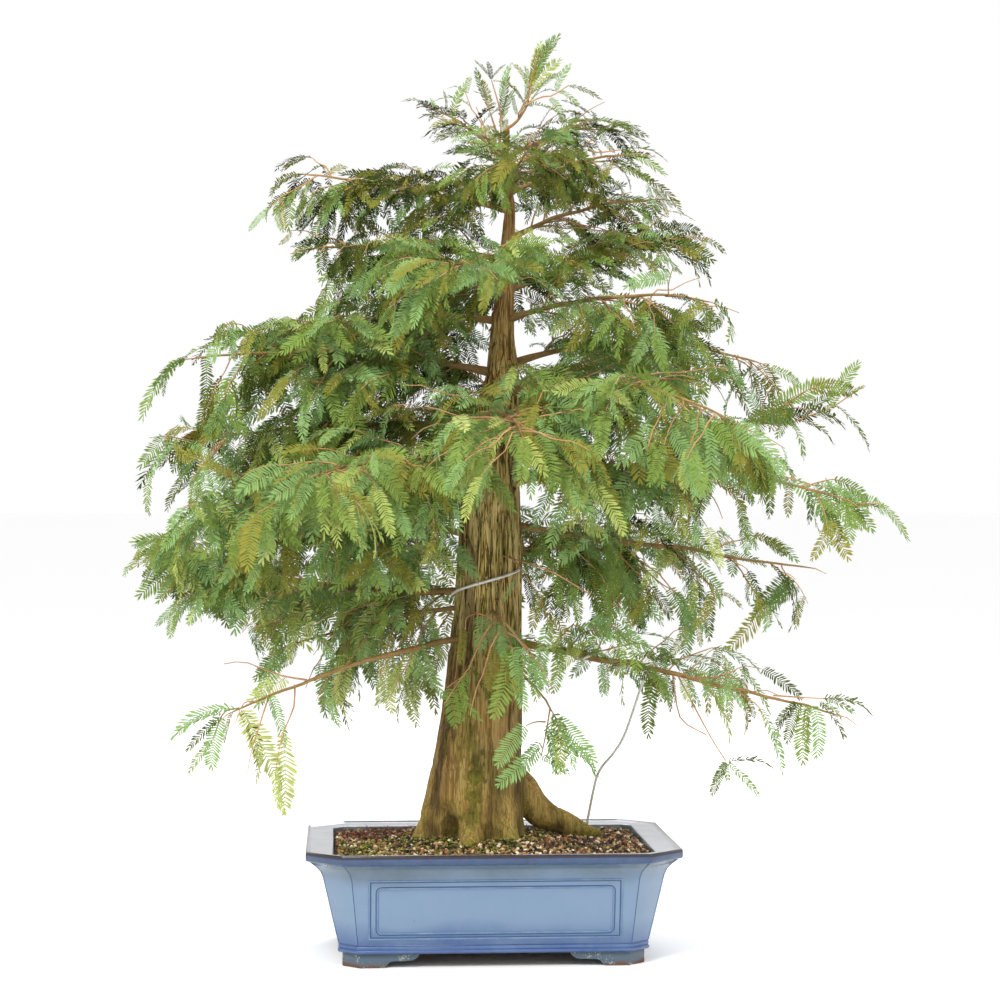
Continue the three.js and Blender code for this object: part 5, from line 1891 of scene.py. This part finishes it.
    def side_path(self, side: int, line: int, grow: float = 0.0) -> list[Vector]:
        """One panel line on one wall.

        Args:
            side: 0 front, 1 right, 2 back, 3 left.
            line: 0 the outer line, 1 the inner one.
            grow: How far outside the line the path runs.

        Returns:
            Points round the line on the wall's surface.
        """
        along, across = self.length, self.depth
        if side % 2:
            along, across = across, along
        low, high = self.frame_low[line] - grow, self.frame_high[line] + grow
        corner = max(self.frame_least_corner, self.frame_corner[line] + grow)
        half = along / 2 - self.frame_inset[line] + grow
        out, low, high = half - corner, low + corner, high - corner
        turn = Matrix.Rotation(math.radians(90 * side), 3, "Z")
        points = []
        for quarter, (cx, cz) in enumerate(((out, low), (out, high), (-out, high), (-out, low))):
            for step in range(5):
                angle = math.radians(-90 + 90 * quarter + 22.5 * step)
                px, pz = cx + corner * math.cos(angle), cz + corner * math.sin(angle)
                points.append(turn @ Vector((px, self.wall_inset(pz) - across / 2, pz)))
        return points

    def frames(self) -> tuple[bpy.types.Object, bpy.types.Object]:
        """The raised panel lines and the dark strips beside them, partly glaze pooled there and partly
        painted shade.
        """
        beads, shade_pools = [], []
        for side in range(4):
            for line in (0, 1):
                path = self.side_path(side, line)
                beads.append(tube("bead", path, [self.bead] * len(path), 8, closed=True))
                beside = self.side_path(side, line, self.shade_pool_beside[line])
                shade_pools.append(tube("shade_pool", beside, [self.shade_pool] * len(beside), 6, closed=True))
        return joined("pot_panel_lines", beads), joined("pot_pooled_shade_lines", shade_pools)

    def edges(self) -> bpy.types.Object:
        """Dark glaze along the corner edges and in the grooves of the beaded foot."""
        lines = []
        walls = [self.wall_ring(z) for z in (25.0, *self.wall_levels)]
        for edge in zip(*walls):
            lines.append(tube("edge", edge, [self.edge] * len(edge), 6))
        for groove in self.grooves:
            ring = self.foot_ring(*groove)
            lines.append(tube("groove", ring, [self.groove] * len(ring), 6, closed=True))
        return joined("pot_edge_lines", lines)

    def foot_outline(self, span: float, toe: float) -> list[tuple[float, float]]:
        """Side view of one arm of a foot, from its outer end: distance and height."""
        top = self.foot_height - 0.3
        nose = ((0.0, 0.0), (0.4, -2.6), (2.4, -5.0), (5.6, -6.9), (10.0, -7.9))
        step = ((8.0, 6.9), (5.0, 6.2), (2.6, 4.8), (0.8, 2.8), (-2.0, 1.1), (-6.0, 0.0))
        points = [(0.0, top)]
        points += [(span - back, top + drop) for back, drop in nose]
        points += [(toe + ahead, up) for ahead, up in step]
        return [*points, (0.0, 0.0)]

    def arm(self, share: float, sideways: bool) -> bpy.types.Object:
        """One arm of a foot, its outline extruded by the foot's thickness in edit mode."""
        x0 = self.length / 2 - self.leg_inset
        y0 = self.leg_inset - self.depth / 2
        outline = self.foot_outline(self.foot_span * share, self.foot_toe * share)
        if sideways:
            points = [Vector((x0, y0 + along, z)) for along, z in outline]
            push = (-self.foot_thick * MM, 0, 0)
        else:
            points = [Vector((x0 - along, y0, z)) for along, z in outline]
            push = (0, self.foot_thick * MM, 0)
        made = flat_face("foot_arm", points)
        edit_all()
        bpy.ops.mesh.extrude_region_move(TRANSFORM_OT_translate={"value": push})
        close_solid()
        return made

    def foot(self, name: str, right: int, back: int) -> bpy.types.Object:
        """A corner foot: two arms, united, its outer corner cut and its edges softened."""
        front = self.arm(1.0, sideways=False)
        side = self.arm(self.side_arm, sideways=True)
        modified(front, "BOOLEAN", object=side, operation="UNION", solver="EXACT")
        bpy.data.objects.remove(side)
        front.name = front.data.name = name
        activate(front)
        edit_all()
        inset = self.leg_inset + self.foot_cut
        corner = Vector((self.length / 2 - inset, inset - self.depth / 2, 0)) * MM
        bpy.ops.mesh.bisect(plane_co=corner, plane_no=(1, -1, 0), clear_outer=True, use_fill=True)
        bpy.ops.object.mode_set(mode="OBJECT")
        bevelled(front, 1.0, 40)
        front.data.transform(Matrix.Diagonal((right, -back, 1, 1)))
        if right * -back < 0:
            front.data.flip_normals()
        smoothed(front, self.softness)
        return front

    def build(self) -> None:
        """Models and dresses the pot."""
        rows = {
            "rim": (srgb(32, 50, 84), srgb(46, 72, 106), srgb(20, 24, 44)),
            "lip": (srgb(128, 130, 142), srgb(152, 152, 160), srgb(54, 46, 50), 0.3, 0.16),
            "broken": (srgb(30, 24, 32), srgb(48, 38, 46), srgb(30, 40, 76)),
            # dark pooled glaze; beside the panel lines it is also painted shade
            "pooled": (srgb(32, 56, 98), srgb(50, 80, 122), srgb(24, 36, 70)),
            # painted highlight: the raised panel lines are coloured pale blue, as where light catches
            # their ridge
            "raised": (srgb(104, 130, 158), srgb(74, 104, 140), srgb(50, 78, 124)),
        }
        wall = GlazeFinish(self.effects).material()
        rim, lip, broken, pooled, raised = (
            BandFinish(self.effects, f"glaze_{name}", *row).material() for name, row in rows.items()
        )
        under = PlainFinish("bare_clay", srgb(64, 44, 34), roughness=0.9, shine=0.5).material()
        body = self.body()
        hand_over(body, Slot.GLAZE, ["pot_body"], wall, rim, lip, broken, under)
        self.dress_body(body)
        lines, shade_pools = self.frames()
        hand_over(lines, Slot.GLAZE, [], raised)
        hand_over(shade_pools, Slot.GLAZE, [], pooled)
        hand_over(self.edges(), Slot.GLAZE, [], pooled)
        clay = FootFinish(self.effects).material()
        for depth, back in (("front", -1), ("back", 1)):
            for hand, right in (("left", -1), ("right", 1)):
                name = f"foot_{depth}_{hand}"
                hand_over(self.foot(f"pot_{name}", right, back), Slot.CLAY, [name], clay)


@dataclass(frozen=True)
class Blades:
    """Small folded blades that lie in tufts, each length and rise between two ends."""

    name: str
    seed: int
    tufts: int
    each: int  # blades in a tuft
    length: tuple[float, float]
    width: float
    rise: tuple[float, float]  # as a share of the length


@dataclass
class Soil:
    """The earth in the pot with its grit, moss and fallen needles."""

    trunk: Trunk
    effects: SharedEffects
    half_length: float = 169.0
    half_depth: float = 119.0
    corner: float = 10.0
    level: float = 114.6
    mound: float = 9.0
    mound_place: tuple[float, float] = (-8.0, 8.0)
    mound_radius: float = 62.0
    mound_fade: float = 42.0
    roughness: float = 1.6
    rough_size: float = 22.0
    edge: float = 16.0  # over this width the earth falls to its level at the pot's walls
    bed_squares: tuple[int, int] = (84, 60)
    bed_depth: float = 10.0
    bed_softness: float = 50.0  # degrees under which its edges are shaded smooth
    corner_from: float = 1.93  # from where the bed's corners are drawn in
    corner_pull: float = 30.0
    grain: float = 4.3
    grain_range: tuple[float, float] = (0.55, 0.85)  # least size, and what the largest have more
    grain_stretch: tuple[float, float] = (0.65, 1.2)
    grain_tilt: float = 0.7
    grain_dents: float = 0.22
    grain_lift: tuple[float, float] = (0.05, 0.35)
    grain_margin: float = 2.2
    pitch: float = 3.7
    blade_margin: float = 3.0
    blade_lift: float = 2.2
    blade_fold: float = 0.4
    tufts: Blades = Blades("soil_moss", 600, 470, 6, (2.2, 4.4), 1.7, (0.15, 0.9))
    fallen: Blades = Blades("soil_litter", 700, 420, 3, (5.0, 13.0), 1.3, (-0.05, 0.5))

    def inside(self, x: float, y: float, margin: float) -> bool:
        """Whether a place lies in the pot's opening."""
        across, deep = self.half_length - margin - abs(x), self.half_depth - margin - abs(y)
        return across > 0 and deep > 0 and across + deep > self.corner

    def height_at(self, x: float, y: float) -> float:
        """The earth's height, banked up to the trunk and uneven."""
        middle_x, middle_y = self.mound_place
        away = math.hypot(x - middle_x, y - middle_y) - self.mound_radius
        bank = self.mound * math.exp(-max(0.0, away) / self.mound_fade)
        rough = noise.noise(Vector((x / self.rough_size, y / self.rough_size, 1.0))) * self.roughness
        edge = smooth(0.0, self.edge, min(self.half_length - abs(x), self.half_depth - abs(y)))
        return self.level + (bank + rough) * edge

    def bed(self) -> bpy.types.Object:
        """The bank of earth: a grid shaped to the ground, with a skirt down to the pot's floor."""
        deselect()
        columns, rows = self.bed_squares
        bpy.ops.mesh.primitive_grid_add(x_subdivisions=columns, y_subdivisions=rows, size=1.0)
        made = bpy.context.object
        made.name = made.data.name = "soil_bed"
        for vertex in made.data.vertices:
            x = vertex.co.x * 2 * self.half_length
            y = vertex.co.y * 2 * self.half_depth
            out = abs(x) / self.half_length + abs(y) / self.half_depth - self.corner_from
            cut = max(0.0, out) * self.corner_pull
            x, y = x - math.copysign(cut, x), y - math.copysign(cut, y)
            vertex.co = Vector((x, y, self.height_at(x, y))) * MM
        edit_all()
        drop = (0, 0, -self.bed_depth * MM)
        bpy.ops.mesh.extrude_region_move(TRANSFORM_OT_translate={"value": drop})
        close_solid()
        smoothed(made, self.bed_softness)
        return made

    def under_trunk(self, x: float, y: float) -> bool:
        """Whether a place is covered by the trunk's foot."""
        foot = self.trunk.sections[0]
        angle = math.atan2(y - foot.y, x - foot.x)
        reach = foot.r + self.trunk.flare(angle, foot.z) - 4
        return math.hypot(x - foot.x, y - foot.y) < reach

    def grit(self) -> bpy.types.Object:
        """Grains of grit all over the bed, each a rough little stone."""
        random = Seeded(SEED + 500)
        bpy.ops.mesh.primitive_ico_sphere_add(subdivisions=1, radius=0.5)
        model = bpy.context.object
        base = np.array([vertex.co for vertex in model.data.vertices])
        triangles = np.array([list(face.vertices) for face in model.data.polygons])
        bpy.data.objects.remove(model)
        points, faces, tints = [], [], []
        columns = int(2 * self.half_length / self.pitch)
        rows = int(2 * self.half_depth / self.pitch)
        least, more = self.grain_range
        for k in range(columns * rows):
            x = (k % columns + random.next()) * self.pitch - self.half_length
            y = (k // columns + random.next()) * self.pitch - self.half_depth
            size = self.grain * (least + more * random.next() ** 1.6)
            stretch = Vector([random.between(*self.grain_stretch) for _ in range(3)]) * size
            turn = Matrix.Rotation(random.between(0, ANY_TURN), 3, "Z")
            tilt = random.between(-self.grain_tilt, self.grain_tilt)
            turn = turn @ Matrix.Rotation(tilt, 3, "X")
            dents = 1 + self.grain_dents * np.array([random.between(-1, 1) for _ in base])
            tint = random.next()
            if not self.inside(x, y, self.grain_margin) or self.under_trunk(x, y):
                continue
            stone = base * dents[:, None] * np.array(stretch) @ np.array(turn).T
            lift = self.height_at(x, y) + size * random.between(*self.grain_lift)
            faces.append(triangles + len(base) * len(points))
            points.append(stone + np.array([x, y, lift]))
            tints.append(tint)
        made = array_piece("soil_grit", np.concatenate(points), np.concatenate(faces))
        layer = made.data.attributes.new("tint", "FLOAT", "FACE")
        layer.data.foreach_set("value", np.repeat(np.array(tints, dtype=np.float32), len(triangles)))
        return made

    def strewn(
        self, blades: Blades, place: Callable[[Seeded], tuple[float, float]]
    ) -> bpy.types.Object:
        """Strews blades over the earth in tufts, at the places that a function gives."""
        random = Seeded(SEED + blades.seed)
        points, faces = [], []
        while len(points) < blades.tufts * blades.each * 4:
            x, y = place(random)
            if not self.inside(x, y, self.blade_margin) or self.under_trunk(x, y):
                continue
            foot = Vector((x, y, self.height_at(x, y) + self.blade_lift))
            for _ in range(blades.each):
                angle, size = random.between(0, ANY_TURN), random.between(*blades.length)
                rise = random.between(*blades.rise)
                out = Vector((math.cos(angle), math.sin(angle), rise)).normalized()
                side = Vector((-out.y, out.x, 0.0)) * blades.width / 2
                first = len(points)
                middle = foot + out * size * 0.5 + UP * self.blade_fold
                points += [foot, middle + side, foot + out * size, middle - side]
                faces += [(first, first + 2, first + 1), (first, first + 3, first + 2)]
        return array_piece(blades.name, np.array(points), np.array(faces))

    def mossy(self, random: Seeded) -> tuple[float, float]:
        """A place for moss: mostly front left and round the trunk's foot."""
        if random.next() < 0.6:
            return random.between(-165, 25), random.between(-117, -40) + random.next() ** 2 * 60
        angle, away = random.between(0, ANY_TURN), 60 + 28 * random.next()
        return -14 + away * math.cos(angle), 10 + away * math.sin(angle)

    def littered(self, random: Seeded) -> tuple[float, float]:
        """A place for litter, thickest at the back left."""
        if random.next() < 0.5:
            return random.between(-165, -40), random.between(10, 115)
        return random.between(-165, 165), random.between(-115, 115)

    def build(self) -> None:
        """Models and dresses the soil."""
        # partly the earth's own dark brown, partly painted shade: the bed is made very dark so that the
        # gaps between grains read as shadow
        earth = CloudedFinish(
            self.effects, "earth_gap_shade", srgb(26, 19, 13), srgb(58, 42, 28), scale=70.0, roughness=0.95,
            dents=(450.0, 0.9, 0.002),
        )
        moss = CloudedFinish(
            self.effects, "moss", srgb(150, 160, 60), srgb(78, 96, 26), scale=90.0, roughness=0.85,
            contrast=0.4, shine=0.2, dents=(700.0, 0.5, 0.0006),
        )
        litter = replace(moss, name="fallen_needles", base=srgb(142, 84, 58), cloud=srgb(76, 46, 36))
        hand_over(self.bed(), Slot.SOIL, ["soil"], earth.material())
        hand_over(self.grit(), Slot.SOIL, [], GritFinish(self.effects).material())
        hand_over(self.strewn(self.tufts, self.mossy), Slot.SOIL, [], moss.material())
        hand_over(self.strewn(self.fallen, self.littered), Slot.SOIL, [], litter.material())


@dataclass
class Wires:
    """The guy wire from the soil to the low right bough, and the wires round trunk and bough."""

    trunk: Trunk
    effects: SharedEffects
    held: Limb = LIMBS[0]
    radius: float = 1.5
    sides: int = 10
    steps: int = 40  # of the stretch from the soil, and of the band
    turn_steps: int = 18
    guy_path: tuple[tuple[float, float, float], ...] = (
        (113, 74, 112), (122, 54, 170), (128, 43, 192), (142, 26, 213), (153, 8, 238),
    )
    guy_seat: float = 0.93
    guy_past: int = 3  # steps by which the guy wire's turn overlaps itself
    guy_pitch: float = 2.1  # advance of its turn, in radii
    bough_tip_share: float = 0.62
    band_height: float = 390.0
    band_climb: float = 27.0
    band_start: float = 186.0
    band_turn: float = 138.0
    band_room: float = 1.6
    coil_from: float = 0.36  # shares of the low right bough that the coil covers
    coil_to: float = 0.84
    coil_turns: float = 2.0

    def wire(self, name: str, points: Sequence[Vector]) -> bpy.types.Object:
        """A wire along points."""
        return tube(name, points, [self.radius] * len(points), sides=self.sides)

    def seat(self, share: float) -> tuple[Vector, Vector, Vector, Vector, float]:
        """The low right bough's middle, heading, side, upper side and radius at a share of it."""
        path = self.held.curve(self.trunk)
        along = path.heading(share)
        side = along.cross(UP).normalized()
        girth = self.held.girth * (1 - (1 - self.bough_tip_share) * share / self.held.bare)
        return path.at(share), along, side, side.cross(along), girth

    def guy(self) -> bpy.types.Object:
        """The guy wire, ending in a turn round the bough."""
        seat, along, side, lift, girth = self.seat(self.guy_seat * self.held.bare)
        run = spline_curve([*self.guy_path, seat - UP * (girth + self.radius)])
        points = [run.at(k / self.steps) for k in range(self.steps + 1)]
        reach = girth + self.radius * 1.1
        for k in range(1, self.turn_steps + self.guy_past + 1):
            angle = math.tau * k / self.turn_steps
            turn = side * math.sin(angle) - lift * math.cos(angle)
            ahead = along * self.radius * self.guy_pitch * k / self.turn_steps
            points.append(seat + turn * reach + ahead)
        return self.wire("guy_wire_bent", points)

    def coil(self) -> bpy.types.Object:
        """The training wire wound along the low right bough."""
        points = []
        steps = round(self.turn_steps * self.coil_turns)
        for k in range(steps + 1):
            share = self.held.bare * (self.coil_from + (self.coil_to - self.coil_from) * k / steps)
            middle, _, side, lift, girth = self.seat(share)
            angle = math.tau * self.coil_turns * k / steps
            out = side * math.cos(angle) + lift * math.sin(angle)
            points.append(middle + out * (girth + self.radius))
        return self.wire("bough_wire_coil", points)

    def band(self) -> bpy.types.Object:
        """The wire laid across the trunk's front."""
        points = []
        for k in range(self.steps + 1):
            share = k / self.steps
            section = self.trunk.at(self.band_height + self.band_climb * share)
            angle = math.radians(self.band_start + self.band_turn * share)
            radius = section.r + self.radius + self.band_room
            points.append(section.around(angle, radius, section.z))
        return self.wire("trunk_wire_bent", points)

    def build(self) -> None:
        """Models and dresses the wires."""
        bare = CloudedFinish(
            self.effects, "bare_wire", srgb(222, 220, 212), srgb(190, 186, 178), scale=120.0,
            roughness=0.45, metallic=0.1,
        ).material()
        hand_over(self.guy(), Slot.WIRE, ["guy_wire"], bare)
        hand_over(self.band(), Slot.WIRE, ["trunk_wire"], bare)
        hand_over(self.coil(), Slot.WIRE, [], bare)


@dataclass
class Studio:
    """Plain pale floor, soft light and the camera at the photograph's angle."""

    camera_place: tuple[float, float, float] = (-0.172, -2.8, 0.4935)
    camera_turn: float = 3.77
    lens: float = 91.8
    sensor: float = 36.0
    farthest: float = 100.0
    paper: Color = (0.98, 0.98, 0.98)
    floor_size: float = 180.0
    aim: tuple[float, float, float] = (0.0, 0.0, 0.5)
    lamps: tuple[tuple[str, tuple[float, float, float], float, float], ...] = (  # size, power
        ("key", (-1.3, -2.2, 2.6), 1.1, 92.0),
        ("fill", (2.2, -1.8, 1.6), 1.6, 22.0),
        ("rim", (0.6, 2.4, 2.4), 1.6, 44.0),
    )

    def floor(self) -> None:
        """A wide pale floor."""
        deselect()
        bpy.ops.mesh.primitive_plane_add(size=self.floor_size)
        sheet = bpy.context.object
        sheet.name = "studio_floor"
        paper = PlainFinish("studio_paper", self.paper, roughness=0.9, shine=0.5)
        sheet.data.materials.append(paper.material())

    def lamp(self, name: str, place: Sequence[float], size: float, power: float) -> None:
        """A square soft light that faces the crown."""
        data = bpy.data.lights.new(name, "AREA")
        data.size, data.energy = size, power
        lamp = bpy.data.objects.new(name, data)
        lamp.location = place
        aim = Vector(self.aim) - Vector(place)
        lamp.rotation_euler = aim.to_track_quat("-Z", "Y").to_euler()
        bpy.context.collection.objects.link(lamp)

    def build(self) -> None:
        """Sets up floor, light, world and camera."""
        self.floor()
        for row in self.lamps:
            self.lamp(*row)
        world = bpy.data.worlds.new("studio")
        world.use_nodes = True
        sky = world.node_tree.nodes["Background"].inputs
        sky["Color"].default_value = (1.0, 1.0, 1.0, 1.0)
        sky["Strength"].default_value = 1.0
        scene = bpy.context.scene
        scene.world = world
        scene.view_settings.view_transform = "Standard"
        camera = bpy.data.objects.new("camera", bpy.data.cameras.new("camera"))
        camera.data.lens, camera.data.sensor_width = self.lens, self.sensor
        camera.data.clip_end = self.farthest
        camera.location = self.camera_place
        camera.rotation_euler = (math.radians(90), 0.0, -math.radians(self.camera_turn))
        bpy.context.collection.objects.link(camera)
        scene.camera = camera


def main() -> None:
    """Builds the studio and the tree piece by piece."""
    logging.basicConfig(level=logging.INFO, format="%(name)s: %(message)s")
    noise.seed_set(SEED)  # otherwise noise_vector gives other values on each run
    Studio().build()
    effects = SharedEffects()
    trunk = Trunk()
    hand_over(trunk.build(), Slot.BARK, ["trunk"], BarkFinish(effects).material())
    Pot(effects).build()
    Soil(trunk, effects).build()
    Wires(trunk, effects).build()
    Foliage(trunk, effects).build()


if __name__ == "__main__":
    main()
